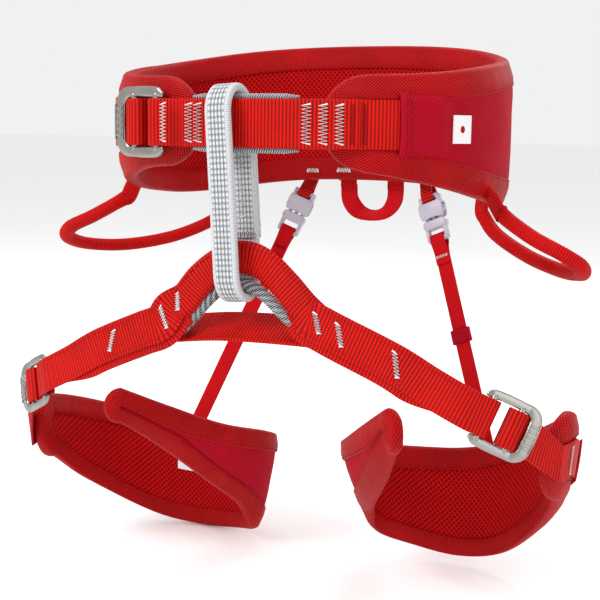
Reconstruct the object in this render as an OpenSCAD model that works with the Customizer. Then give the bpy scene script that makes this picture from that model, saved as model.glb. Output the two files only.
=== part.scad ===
// Sit harness with padded waist belt, belay loop and two adjustable leg loops.
// X points to the wearer's left, -Y to the front, Z up; origin in the middle of the waist opening.

/* [Waist belt] */
// half width of the waist opening measured to the middle of the pad
waist_a = 108; // [100:0.5:140]
// half depth of the waist opening measured to the middle of the pad
waist_b = 88; // [80:0.5:120]
// squareness of the waist outline, 2 is an ellipse
waist_n = 2.3; // [2:0.1:3]
// thickness of the foam core
foam_t = 7; // [5:0.5:12]
// radius of the rounded belt tongues
tongue_r = 22; // [16:0.5:30]

/* [Webbing] */
// width of the load webbing
web_w = 25; // [20:0.5:45]
// thickness of one webbing layer
web_t = 1.6; // [1:0.1:2.5]
// width of the sewn belay loop
belay_w = 14.5; // [12:0.5:26]
// thickness of the sewn belay loop
belay_t = 4.5; // [3:0.25:6]
// outside height of the belay loop
belay_h = 113.6; // [90:1:140]
// outside depth of the belay loop across both strands
belay_d = 30.5; // [24:0.5:40]

/* [Leg loops] */
// radius of the leg pad's outer rounded end
leg_end_r = 21; // [16:0.5:28]
// difference in height between the left and right leg units
leg_dz = 3.5; // [0:0.5:6]

/* [Buckles] */
// outside height of a metal buckle across its rails
buckle_h = 37; // [32:0.5:50]
// length of a metal buckle along the webbing
buckle_l = 45; // [38:0.5:50]
// radius of the buckle bars
bar_r = 2; // [1.5:0.1:3]
// size of the leg buckles and leg webbing as a share of the waist ones
leg_k = 0.8; // [0.7:0.05:1]

/* [Loops] */
// radius of the gear loop sleeve
gear_r = 4.6; // [3:0.1:6]
// width of the elastic risers
riser_w = 10; // [8:0.5:15]

/* [Hidden] */
$fn = 40;
fab = 0.8;
ho = foam_t / 2;
web_z0 = -1.7 - web_w / 2;
web_z1 = -1.7 + web_w / 2;
leg_w = web_w * leg_k;
leg_t = web_t * leg_k;
crimson = [0.62, 0.03, 0.09];
red = [0.80, 0.05, 0.04];
mesh_red = [0.38, 0.02, 0.03];
grey = [0.62, 0.64, 0.66];
metal = [0.55, 0.55, 0.53];
white = [0.9, 0.9, 0.9];
lilac = [0.78, 0.77, 0.84];

// belt top and bottom edge heights against the angle from the middle of the back
belt_top = [[0, 47], [20, 46], [40, 43], [60, 38], [80, 33], [100, 28], [125, 23], [149, 21]];
belt_bot = [[0, -35], [20, -36], [40, -40], [60, -44], [80, -44], [100, -39], [120, -32], [149, -23]];

function sg(v) = v < 0 ? -1 : 1;
function spw(v, e) = sg(v) * pow(abs(v), e);
function unit(v) = v / norm(v);
function wp(t, z, off) =
    [(waist_a + off) * spw(sin(t), 2 / waist_n), -(-(waist_b + off)) * spw(cos(t), 2 / waist_n), z];
function zt(t) = lookup(abs(t), belt_top);
function zb(t) = lookup(abs(t), belt_bot);
function lerp(a, b, u) = a + (b - a) * u;

// Catmull-Rom value of list p at position u
function crp(p, i) = i < 0 ? 2 * p[0] - p[1] : i > len(p) - 1 ? 2 * p[len(p) - 1] - p[len(p) - 2] : p[i];
function cr(p, u) =
    let (i = max(0, min(len(p) - 2, floor(u))), k = u - i, a = crp(p, i - 1), b = crp(p, i),
        c = crp(p, i + 1), d = crp(p, i + 2))
    0.5 * (2 * b + (c - a) * k + (2 * a - 5 * b + 4 * c - d) * k * k + (3 * b - a - 3 * c + d) * k * k * k);

// closed solid from a row of equal polygons
function tet(p, f, i) = p[f[i][0]] * cross(p[f[i][1]], p[f[i][2]]);
function vsum(p, f) = let (s = [for (i = 0, a = tet(p, f, 0); i < len(f);
    i = i + 1, a = i < len(f) ? a + tet(p, f, i) : a) a]) s[len(s) - 1];
module skin(secs, closed = false) {
    k = len(secs[0]);
    m = len(secs);
    pts = [for (s = secs) for (p = s) p];
    last = closed ? m : m - 1;
    sides = [for (i = [0 : last - 1]) for (j = [0 : k - 1])
        let (a = i * k + j, b = i * k + (j + 1) % k, c = ((i + 1) % m) * k + (j + 1) % k, d = ((i + 1) % m) * k + j)
        each [[a, b, c], [a, c, d]]];
    caps = closed ? [] : concat([for (j = [1 : k - 2]) [0, j + 1, j]],
        [for (j = [1 : k - 2]) [(m - 1) * k, (m - 1) * k + j, (m - 1) * k + j + 1]]);
    f = concat(sides, caps);
    polyhedron(pts, vsum(pts, f) < 0 ? f : [for (t = f) [t[2], t[1], t[0]]]);
}

// sections of a strap or tube along a path; up is the direction of the strap's width
function along(path, prof, up, closed = false) = [for (i = [0 : len(path) - 1])
    let (n = len(path), a = closed ? path[(i + n - 1) % n] : path[max(0, i - 1)],
        b = closed ? path[(i + 1) % n] : path[min(n - 1, i + 1)], t = unit(b - a),
        s = unit(cross(up, t)), w = cross(t, s))
    [for (q = prof) path[i] + q[0] * s + q[1] * w]];
function flat(w, t) = [[-t / 2, -w / 2], [t / 2, -w / 2], [t / 2, w / 2], [-t / 2, w / 2]];
function round_prof(r, n) = [for (i = [0 : n - 1]) [r * cos(360 * i / n), r * sin(360 * i / n)]];
function curve(p, n) = [for (i = [0 : n]) cr(p, i * (len(p) - 1) / n)];

// strap lying on the belt between two angles, two heights and two offsets
module belt_strap(t0, t1, z0, z1, o0, o1, n = 16) {
    skin([for (i = [0 : n]) let (t = lerp(t0, t1, i / n))
        [wp(t, z0, o0), wp(t, z0, o1), wp(t, z1, o1), wp(t, z1, o0)]]);
}

// belt pad layers share one outline with rounded tongues
tip_k = 1.9;
tip_t = 149;
tip_r = 154.5;
tip_z = -1;
function tip_half(a) = tongue_r * cos(a);
pad_ts = concat([for (a = [80 : -20 : 20]) [-tip_r - tongue_r * sin(a) / tip_k, a]],
    [for (i = [0 : 40]) [lerp(-tip_r, tip_t, i / 40), 0]],
    [for (a = [20 : 20 : 80]) [tip_t + tongue_r * sin(a) / tip_k, a]]);
function layer_z(q, up) = q[0] >= -tip_r - 0.01 && q[0] <= tip_t + 0.01 ? (up ? zt(q[0]) : zb(q[0])) :
    tip_z + (up ? 1 : -1) * tip_half(q[1]);
module belt_layer(o0, o1) {
    skin([for (q = pad_ts) let (a = layer_z(q, false), b = layer_z(q, true))
        [wp(q[0], a, o0), wp(q[0], a, o1), wp(q[0], b, o1), wp(q[0], b, o0)]]);
}
belt_edge = concat([for (i = [0 : 39]) let (t = lerp(-tip_r, tip_t, i / 40)) [t, zt(t), 0, 1]],
    [for (a = [0 : 20 : 160]) [tip_t + tongue_r * sin(a) / tip_k, tip_z + tongue_r * cos(a), sin(a), cos(a)]],
    [for (i = [40 : -1 : 1]) let (t = lerp(-tip_r, tip_t, i / 40)) [t, zb(t), 0, -1]],
    [for (a = [180 : -20 : 20]) [-tip_r - tongue_r * sin(a) / tip_k, tip_z + tongue_r * cos(a), -sin(a), cos(a)]]);
bind_in = 12;
bo = ho + fab;
lay = 0.25;
function u_prof(o) = [[o + lay, -bind_in], [o + fab, -bind_in], [o + fab, 1.2], [-o - fab, 1.2],
    [-o - fab, -bind_in], [-o - lay, -bind_in], [-o - lay, 0.4], [o + lay, 0.4]];

module waist_foam_core() { color(mesh_red) belt_layer(-ho + lay, ho - lay); }
module waist_outer_fabric() { color(crimson) belt_layer(ho, ho + fab); }
module waist_mesh_lining() { color(mesh_red) belt_layer(-ho - fab, -ho); }
module waist_edge_binding() {
    color(red) skin([for (q = belt_edge)
        [for (p = u_prof(bo)) wp(q[0] + p[1] * q[2] / tip_k, q[1] + p[1] * q[3], p[0])]], closed = true);
}

// webbing on the front of the belt
wo = bo + fab + 0.2;
module waist_webbing() {
    color(red) {
        belt_strap(134, 196, web_z0, web_z1, wo, wo + web_t, 13);
        on_belt() wrap(bar1_u, -26, -26);
    }
}
function tie_off(t) = wo + web_t + 0.1 + 2.4 * pow(sin(180 * (t - 151) / 44), 2);
module tie_in_webbing() {
    color(red) skin([for (i = [0 : 24]) let (t = lerp(151, 195, i / 24), b = tie_off(t))
        [wp(t, web_z0, b), wp(t, web_z0, b + web_t), wp(t, web_z1, b + web_t), wp(t, web_z1, b)]]);
}
module tie_in_protector() { color(grey) belt_strap(167.5, 192, web_z0 - 2.5, web_z1 + 2.5, wo - 1.3, wo - 0.1, 8); }
module webbing_tunnel_patch() {
    color(crimson) belt_strap(98, 139, -17.5, 13.5, wo + web_t + 0.1, wo + web_t + 1.1, 10);
}
module belt_label() { color(white) belt_strap(112, 120, -11, 8, wo + web_t + 1.2, wo + web_t + 1.7, 3); }
module waist_webbing_tail() { color(crimson) belt_strap(226.5, 250, web_z0, web_z1, wo, wo + web_t, 6); }
module waist_tail_keeper() { color(red) belt_strap(238, 244, web_z0 - 1.5, web_z1 + 1.5, wo + web_t + 0.1, wo + web_t + 1.1, 3); }
module tack(t, w) {
    skin([for (a = [t - w / 2, t + w / 2]) let (b = tie_off(a) + web_t + 0.12)
        [wp(a, web_z0 + 2, b), wp(a, web_z0 + 2, b + 0.5), wp(a, web_z1 - 2, b + 0.5), wp(a, web_z1 - 2, b)]]);
}
module waist_bar_tacks() {
    color(white) {
        for (t = [156.8, 161.2, 165.2]) tack(t, 1.6);
        for (t = [190, 193.4]) tack(t, 1.4);
        for (t = [-96, 70, 96]) belt_strap(t - 1, t + 1, zb(t) + 0.5, zb(t) + 6.5, wo, wo + 0.5, 1);
    }
}

// metal quick adjust buckle in its own axes: X along the webbing, Y across it, Z outward
bar1_u = -buckle_l / 2 + 10.5;
bar2_u = 7.5;
module buckle_frame() {
    win = web_w / 2 + 0.8;
    translate([0, 0, -1.2]) linear_extrude(2.4) difference() {
        offset(r = 4) offset(delta = -4) square([buckle_l, buckle_h], center = true);
        translate([-buckle_l / 2 - 6, -win]) square([buckle_l - 3, 2 * win]);
    }
    translate([buckle_l / 2 - 4.6, 0, 1.2]) difference() {
        translate([-4.2, -win, 0]) cube([8.4, 2 * win, 1.3]);
        for (i = [-2 : 2]) translate([-5, i * 4.6 - 1, 0.6]) cube([10, 2, 1]);
    }
}
module buckle_bars() {
    h = web_w + 1.6;
    for (u = [bar1_u, bar2_u]) translate([u, h / 2, 0]) rotate([90, 0, 0]) cylinder(r = bar_r, h = h);
}
// webbing layer wrapped round a bar at u; the layers run towards negative X to x0 and x1
module wrap(u, x_out, x_in) {
    r0 = bar_r + 0.4;
    r1 = r0 + web_t;
    translate([0, web_w / 2, 0]) rotate([90, 0, 0]) linear_extrude(web_w) {
        difference() {
            translate([u, 0]) circle(r = r1);
            translate([u, 0]) circle(r = r0);
            translate([u - 2 * r1, -2 * r1]) square([2 * r1, 4 * r1]);
        }
        translate([x_out, r0]) square([u - x_out + 0.01, web_t]);
        translate([x_in, -r1]) square([u - x_in + 0.01, web_t]);
    }
}
module fold() { wrap(bar2_u, bar2_u - 9.5, bar2_u - 9.5); }

bk_t = 209;
bk_o = wp(bk_t, -1.7, wo + web_t + bar_r + 0.4 + 0.8);
bk_u = unit(wp(bk_t + 3, 0, 0) - wp(bk_t - 3, 0, 0));
module place(o, u, v) {
    n = cross(u, v) / norm(u);
    multmatrix([[u[0], v[0], n[0], o[0]], [u[1], v[1], n[1], o[1]], [u[2], v[2], n[2], o[2]], [0, 0, 0, 1]])
        children();
}
module on_belt() { place(bk_o, bk_u, [0, 0, -1]) children(); }
module waist_buckle_frame() { color(metal) on_belt() buckle_frame(); }
module waist_buckle_bars() { color(metal) on_belt() buckle_bars(); }
module waist_buckle_fold() { color(red) on_belt() fold(); }

// sewn belay loop, slightly tilted like it hangs
belay_c = [-5.2, -92.5, -38.1];
function stadium(h, d, n) = [for (i = [0 : n - 1]) let (a = 360 * (i + 0.5) / n)
    [0, d / 2 * cos(a), (h - d) / 2 * sg(sin(a)) + d / 2 * sin(a)]];
function tilt(p) = let (a = 3.6) belay_c + [p[0] * cos(a) - p[2] * sin(a), p[1], p[0] * sin(a) + p[2] * cos(a)];
module belay_ring(h, d, t, w) {
    a = stadium(h, d, 28);
    b = stadium(h - 2 * t, d - 2 * t, 28);
    skin([for (i = [0 : 27]) [for (p = [a[i] - [w / 2, 0, 0], a[i] + [w / 2, 0, 0], b[i] + [w / 2, 0, 0],
        b[i] - [w / 2, 0, 0]]) tilt(p)]], closed = true);
}
module belay_loop_webbing() { color(grey) belay_ring(belay_h, belay_d, belay_t, belay_w); }
module on_loop_back(z0, z1, w, o0, o1) {
    skin([for (z = [z0, z1]) [for (p = [[-w / 2, o0], [w / 2, o0], [w / 2, o1], [-w / 2, o1]])
        tilt([p[0], belay_d / 2 + p[1], z])]]);
}
module belay_loop_overlap() { color(grey) on_loop_back(-22, 30, belay_w - 1, 0.05, 1.6); }
module belay_loop_tacks() {
    color(white) {
        on_loop_back(-19, -16, belay_w - 4, 1.65, 2.1);
        on_loop_back(-8, 22, 4, 1.65, 2.1);
    }
}

// leg tie-in: arched webbing, protective sleeve and bridge strap
arch_path = [[-46, -95, -107], [-34, -95, -98], [-22, -95, -84], [-8, -95, -74], [3, -95, -71.5],
    [14, -95, -75], [26, -95, -85], [36, -95, -95], [46, -95, -103]];
module leg_tie_in_arch() {
    p = curve(arch_path, 24);
    color(red) skin([for (i = [0 : 24]) let (t = unit(p[min(24, i + 1)] - p[max(0, i - 1)]), n = cross(t, [0, 1, 0]))
        [for (q = [[-1.8, -9.5], [1.8, -9.5], [1.8, 9.5], [-1.8, 9.5]]) p[i] + [0, q[0], 0] - n * q[1] * sg(n[2]) * -1]]);
}
sleeve_y = -90.05;
sleeve_path = [for (q = [[-37, -111.2], [-30, -104], [-22, -95], [-13.5, -87.8], [-4, -85.2], [6, -85.6], [13, -89.2],
    [21, -96], [29, -102.3], [35, -106]]) [q[0], sleeve_y, q[1]]];
module tie_in_sleeve() { color(grey) skin(along(curve(sleeve_path, 26), round_prof(3, 10), [0, -1, 0])); }
module bridge_strap() {
    color(red) skin(along([[-40, -84, -113], [-14, -84, -110], [14, -84, -109], [40, -84, -109]],
        flat(web_w, web_t), [0, 0.88, 0.47]));
}

// leg units, s = 1 on the wearer's left and -1 on the right
function m(s, p) = [s * p[0], p[1], p[2]];
function lz(s, p) = [s * p[0], p[1], p[2] + s * leg_dz];
leg_path = [[42, -99.3, -105], [58, -99, -110], [86, -97, -122], [106, -95.3, -133], [122.5, -93.6, -141.8]];
web_up = [0.25, 0.1, 1];
module leg_web(s) { color(red) skin(along([for (p = curve(leg_path, 12)) lz(s, p)], flat(leg_w, leg_t), m(s, web_up))); }
module leg_strand(s) {
    c = [for (p = curve(leg_path, 12)) lz(s, p)];
    up = unit(m(s, web_up));
    color(red) skin([for (i = [2 : 9]) let (t = unit(c[i + 1] - c[i - 1]), n = unit(cross(up, t)) * -s, v = cross(t, n) * -s)
        [for (q = [[-2.5, -14], [-1, -14], [-1, -7], [-2.5, -7]]) c[i] + n * q[0] + v * q[1] * sg(v[2])]]);
}
module leg_webbing_left() {
    leg_web(1);
    color(red) on_leg(1) wrap(bar1_u, -28, -28);
}
module leg_webbing_right() {
    leg_web(-1);
    color(red) on_leg(-1) wrap(bar1_u, -28, -28);
}
module lower_strands() {
    leg_strand(1);
    leg_strand(-1);
}

// leg buckle axes
lb_c = [139, -82.5, -151];
lb_u = unit([0.80, 0.40, -0.42]);
lb_up = [0.18, 0.25, 1];
function lbu(s) = m(s, lb_u);
function lbn(s) = unit(cross(lbu(s), m(s, lb_up)) * s);
module on_leg(s) {
    u = lbu(s);
    n = lbn(s) * sg(lbn(s)[0] * s);
    v = cross(n, u);
    place(lz(s, lb_c), u * leg_k, v * leg_k) children();
}
module leg_buckle_frame_left() { color(metal) on_leg(1) buckle_frame(); }
module leg_buckle_frame_right() { color(metal) on_leg(-1) buckle_frame(); }
module leg_buckle_bars_left() { color(metal) on_leg(1) buckle_bars(); }
module leg_buckle_bars_right() { color(metal) on_leg(-1) buckle_bars(); }
module leg_buckle_fold_left() { color(red) on_leg(1) fold(); }
module leg_buckle_fold_right() { color(red) on_leg(-1) fold(); }

// leg pads: plan of the top edge, heights of both edges and inward lean of the bottom edge
leg_plan = [[88, -92], [64, -66], [42, -36], [28, -6], [33, 16], [56, 31], [88, 35], [119, 28], [144, 10],
    [159, -16], [163, -40], [158, -60]];
top_l = [-141, -160, -178, -190, -196, -199, -197, -187, -170, -157, -149, -145];
bot_l = [-157, -189, -214, -230, -244, -255, -260, -251, -228, -206, -193, -188];
top_r = [-148, -164, -180, -190, -198, -204, -206, -202, -190, -180, -174, -171];
bot_r = [-162, -187, -216, -240, -255, -263, -267, -262, -247, -228, -210, -202];
lean = [0, 8, 12, 14, 10, 5, 3, 4, 5, 5, 4, 3];
function ltop(s, u) = cr(s > 0 ? top_l : top_r, u);
function lbot(s, u) = cr(s > 0 ? bot_l : bot_r, u);
function lplan(u) = let (p = cr(leg_plan, u)) [p[0], p[1], 0];
function lnor(u) = let (t = unit(lplan(u + 0.1) - lplan(u - 0.1))) [t[1] * -1, t[0], 0];
function lp(s, u, z, off) = let (f = (ltop(s, u) - z) / (ltop(s, u) - lbot(s, u)),
    q = lplan(u) + lnor(u) * (off - cr(lean, u) * f)) [s * q[0], q[1], z];
u_front = 0.32;
u_end = 10;
k_front = 37;
k_end = 22;
r_front = 8.5;
function zmid(s, u) = (ltop(s, u) + lbot(s, u)) / 2;
function r_out(s) = (ltop(s, u_end) - lbot(s, u_end)) / 2;
function rf(s) = (ltop(s, u_front) - lbot(s, u_front)) / 2;
function leg_us(s) = concat([for (a = [75 : -25 : 25]) [u_front - rf(s) * sin(a) / k_front, a, -1]],
    [for (i = [0 : 30]) [lerp(u_front, u_end, i / 30), 0, 0]],
    [for (a = [25 : 25 : 75]) [u_end + r_out(s) * sin(a) / k_end, a, 1]]);
function leg_z(s, q, up) = q[2] == 0 ? (up ? ltop(s, q[0]) : lbot(s, q[0])) :
    q[2] < 0 ? zmid(s, u_front) + (up ? 1 : -1) * rf(s) * cos(q[1]) :
    zmid(s, u_end) + (up ? 1 : -1) * r_out(s) * cos(q[1]);
module leg_layer(s, o0, o1) {
    skin([for (q = leg_us(s)) let (a = leg_z(s, q, false), b = leg_z(s, q, true))
        [lp(s, q[0], a, o0), lp(s, q[0], a, o1), lp(s, q[0], b, o1), lp(s, q[0], b, o0)]]);
}
function leg_edge(s) = concat([for (i = [0 : 29]) let (u = lerp(u_front, u_end, i / 30)) [u, ltop(s, u), 0, 1, 1]],
    [for (a = [0 : 20 : 160]) [u_end + r_out(s) * sin(a) / k_end, zmid(s, u_end) + r_out(s) * cos(a), sin(a) / k_end, cos(a), 1]],
    [for (i = [30 : -1 : 1]) let (u = lerp(u_front, u_end, i / 30)) [u, lbot(s, u), 0, -1, 1]],
    [for (a = [180 : -20 : 20]) [u_front - rf(s) * sin(a) / k_front, zmid(s, u_front) + rf(s) * cos(a),
        -sin(a) / k_front, cos(a), 1]]);
leg_bind = 6.5;
leg_lay = 0.75;
function u_prof2(o) = [[o + 0.4, -leg_bind], [o + fab, -leg_bind], [o + fab, 1.2], [-o - fab, 1.2],
    [-o - fab, -leg_bind], [-o - 0.4, -leg_bind], [-o - 0.4, 0.5], [o + 0.4, 0.5]];
lo = 3;
module leg_bind_ring(s) {
    skin([for (q = leg_edge(s)) [for (p = u_prof2(lo + fab)) lp(s, q[0] + p[1] * q[2], q[1] + p[1] * q[3], p[0])]],
        closed = true);
}
module leg_foam_left() { color(mesh_red) leg_layer(1, -lo + leg_lay, lo - leg_lay); }
module leg_foam_right() { color(mesh_red) leg_layer(-1, -lo + leg_lay, lo - leg_lay); }
module leg_outer_fabric_left() { color(crimson) leg_layer(1, lo, lo + fab); }
module leg_outer_fabric_right() { color(crimson) leg_layer(-1, lo, lo + fab); }
module leg_mesh_lining_left() { color(mesh_red) leg_layer(1, -lo - fab, -lo); }
module leg_mesh_lining_right() { color(mesh_red) leg_layer(-1, -lo - fab, -lo); }
module leg_edge_binding_left() { color(red) leg_bind_ring(1); }
module leg_edge_binding_right() { color(red) leg_bind_ring(-1); }

// webbing tail wrapped over the outer end of the leg pad, and its elastic keeper
tail_o = lo + 2 * fab + 0.3;
module tail_band(s, u0, u1, z0, z1, o0, o1, n) {
    skin([for (i = [0 : n]) let (u = lerp(u0, u1, i / n), c = zmid(s, u))
        [lp(s, u, c + z0, o0), lp(s, u, c + z0, o1), lp(s, u, c + z1, o1), lp(s, u, c + z1, o0)]]);
}
module leg_tail_left() { color(red) tail_band(1, 8.2, 10.9, -leg_w / 2, leg_w / 2, tail_o, tail_o + leg_t, 9); }
module leg_tail_right() { color(red) tail_band(-1, 8.2, 10.9, -leg_w / 2, leg_w / 2, tail_o, tail_o + leg_t, 9); }
module leg_keepers() {
    color(crimson) for (s = [1, -1])
        tail_band(s, 8.9, 9.3, -leg_w / 2 - 1.5, leg_w / 2 + 1.5, tail_o + leg_t + 0.1, tail_o + leg_t + 1.1, 2);
}
module care_label() { color(white) tail_band(-1, 6.0, 6.6, 4, 16, -lo - 2 * fab - 0.7, -lo - 2 * fab - 0.2, 3); }

// white stitch blocks on the leg webbing
module leg_tack(s, i, w) {
    c = [for (p = curve(leg_path, 12)) lz(s, p)];
    t = unit(c[i + 1] - c[i - 1]);
    up = unit(m(s, web_up));
    n = unit(cross(up, t)) * -s;
    v = cross(t, n);
    o = c[i] + n * (leg_t / 2 + 0.1);
    skin([for (a = [-w / 2, w / 2]) [for (q = [[0, -7], [0.5, -7], [0.5, 7], [0, 7]]) o + t * a + n * q[0] + v * q[1]]]);
}
module leg_bar_tacks() {
    color(white) {
        leg_tack(1, 2, 3);
        leg_tack(1, 4, 3);
        leg_tack(1, 8, 3);
        leg_tack(-1, 2, 2.4);
        leg_tack(-1, 3, 2.4);
        leg_tack(-1, 7, 2.4);
    }
}

// elastic risers with side release clips
r_top = [39, 96.2, -34.5];
r_end = [104, 43.5, -210];
r_dir = unit(r_end - r_top);
r_side = unit(cross([0, 1, 0.35], r_dir));
r_out_n = cross(r_dir, r_side);
function rp(s, d, w, n) = m(s, r_top + r_dir * d + r_side * w + r_out_n * n);
module riser_box(s, d0, d1, w0, w1, t) {
    skin([for (q = [[d0, w0], [d1, w1]]) [for (p = [[-q[1] / 2, -t / 2], [q[1] / 2, -t / 2], [q[1] / 2, t / 2],
        [-q[1] / 2, t / 2]]) rp(s, q[0], p[0], p[1])]]);
}
module in_riser(s) {
    u = m(s, r_side);
    v = m(s, r_dir);
    n = m(s, r_out_n);
    o = m(s, r_top);
    multmatrix([[u[0], v[0], n[0], o[0]], [u[1], v[1], n[1], o[1]], [u[2], v[2], n[2], o[2]], [0, 0, 0, 1]])
        children();
}
cd = 13;
module clip_female(s) {
    color(lilac) in_riser(s) translate([0, cd, 0]) difference() {
        union() {
            translate([-7.5, 0, -3]) cube([15, 3, 6]);
            translate([-8.6, 5, -3.6]) cube([17.2, 11.5, 7.2]);
            for (x = [-7.5, 4.5]) translate([x, 2.5, -3]) cube([3, 3, 6]);
        }
        translate([-6.1, 7, -1.9]) cube([12.2, 12, 3.8]);
        for (x = [-9, 5.2]) translate([x, 7.5, -1.9]) cube([3.8, 12, 3.8]);
    }
}
module clip_male(s) {
    color(lilac) in_riser(s) translate([0, cd, 0]) {
        translate([-1.1, 8, -1.5]) cube([2.2, 9.5, 3]);
        translate([-8.2, 17, -3]) cube([16.4, 6, 6]);
        translate([-7.6, 22.5, -2.4]) cube([2.4, 8, 4.8]);
        translate([5.2, 22.5, -2.4]) cube([2.4, 8, 4.8]);
        translate([-7.6, 28.5, -2.4]) cube([15.2, 3, 4.8]);
    }
}
module latch_arm(s, e) {
    color(lilac) in_riser(s) translate([0, cd, 0]) linear_extrude(3, center = true)
        polygon([[e * 3.4, 16.8], [e * 5.4, 16.8], [e * 7.0, 13.2], [e * 8.4, 12.6], [e * 8.9, 9.2], [e * 7.2, 8.6],
            [e * 5.0, 10.4], [e * 3.4, 13.4]]);
}
module riser_tab(s) {
    w = 8.6;
    color(red) in_riser(s) difference() {
        translate([-w / 2, -0.5, -4.3]) cube([w, cd + 5.2, 8.6]);
        translate([-w, 0.7, -3.1]) cube([2 * w, cd + 2.6, 6.2]);
    }
}
module riser_strap(s) {
    L = norm(r_end - r_top);
    color(red) in_riser(s) difference() {
        union() {
            translate([-riser_w / 2, cd + 26.4, -3.8]) cube([riser_w, 7.6, 7.6]);
            translate([-riser_w / 2, cd + 33, -0.6]) cube([riser_w, L - cd - 33, 1.2]);
        }
        translate([-riser_w, cd + 27.6, -2.6]) cube([2 * riser_w, 5.2, 5.2]);
    }
}
module riser_keeper(s) {
    color(crimson) in_riser(s) translate([0, 104, 0]) difference() {
        translate([-6.4, 0, -1.9]) cube([12.8, 8, 3.8]);
        translate([-5.2, -1, -0.8]) cube([10.4, 10, 1.6]);
    }
}
module riser_anchor(s) {
    color(red) belt_strap(s * 17.2 - 2.4, s * 17.2 + 2.4, -34, -24, wo, wo + 1.2, 2);
}
module riser_tab_left() { riser_tab(1); }
module riser_tab_right() { riser_tab(-1); }
module clip_female_left() { clip_female(1); }
module clip_female_right() { clip_female(-1); }
module clip_male_left() { clip_male(1); }
module clip_male_right() { clip_male(-1); }
module latch_arm_left_a() { latch_arm(1, -1); }
module latch_arm_left_b() { latch_arm(1, 1); }
module latch_arm_right_a() { latch_arm(-1, -1); }
module latch_arm_right_b() { latch_arm(-1, 1); }
module riser_strap_left() { riser_strap(1); }
module riser_strap_right() { riser_strap(-1); }
module riser_keeper_left() { riser_keeper(1); }

// gear loops and haul loop
gear_path = [[116.5, -16, -47], [124, -20, -52], [138, -24, -60], [153, -25, -67], [161.5, -17, -74], [159, 1, -80],
    [144, 25, -82], [120, 45, -77], [97, 58, -66], [86, 63, -53.5]];
module gear_tube(s, r) {
    skin(along([for (q = curve(gear_path, 32)) m(s, q)], round_prof(r, 12), [0, 0.1, 1]));
}
module gear_loop_left() { color(red) gear_tube(1, gear_r); }
module gear_loop_right() { color(red) gear_tube(-1, gear_r); }
haul_path = [[-13.5, 95.5, -41], [-12.5, 95.5, -51], [-6.5, 95.5, -58.5], [3, 95.5, -61], [12.5, 95.5, -58.5],
    [18.5, 95.5, -51], [19.5, 95.5, -41]];
haul_prof = [for (q = flat(9, 1.6)) [q[0] * cos(32) - q[1] * sin(32), q[0] * sin(32) + q[1] * cos(32)]];
module haul_loop() { color(red) skin(along(curve(haul_path, 20), haul_prof, [0, 1, 0])); }
module rear_anchor_tabs() {
    riser_anchor(1);
    riser_anchor(-1);
    color(red) {
        belt_strap(-8, -3.8, -33, -24, wo, wo + 1.2, 2);
        belt_strap(5.2, 9.6, -33, -24, wo, wo + 1.2, 2);
    }
}

// which piece to show

waist_foam_core();
waist_outer_fabric();
waist_mesh_lining();
waist_edge_binding();
waist_webbing();
tie_in_webbing();
tie_in_protector();
webbing_tunnel_patch();
belt_label();
waist_webbing_tail();
waist_tail_keeper();
waist_bar_tacks();
waist_buckle_frame();
waist_buckle_bars();
waist_buckle_fold();
belay_loop_webbing();
belay_loop_overlap();
belay_loop_tacks();
leg_tie_in_arch();
tie_in_sleeve();
bridge_strap();
leg_webbing_left();
leg_webbing_right();
lower_strands();
leg_buckle_frame_left();
leg_buckle_frame_right();
leg_buckle_bars_left();
leg_buckle_bars_right();
leg_buckle_fold_left();
leg_buckle_fold_right();
leg_foam_left();
leg_foam_right();
leg_outer_fabric_left();
leg_outer_fabric_right();
leg_mesh_lining_left();
leg_mesh_lining_right();
leg_edge_binding_left();
leg_edge_binding_right();
leg_tail_left();
leg_tail_right();
leg_keepers();
care_label();
leg_bar_tacks();
riser_tab_left();
riser_tab_right();
clip_female_left();
clip_female_right();
clip_male_left();
clip_male_right();
latch_arm_left_a();
latch_arm_left_b();
latch_arm_right_a();
latch_arm_right_b();
riser_strap_left();
riser_strap_right();
riser_keeper_left();
gear_loop_left();
gear_loop_right();
haul_loop();
rear_anchor_tabs();
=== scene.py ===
"""Looks of the sit harness: sewn pads, ribbed webbing, braided cord, metal buckles and plastic clips.

Every piece is lofted by mesh code in the CAD frame, in millimetres, and scaled to metres when it is made.
"""

import math
import random

import bmesh
import bpy
import numpy as np
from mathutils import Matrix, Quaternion, Vector, noise


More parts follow.
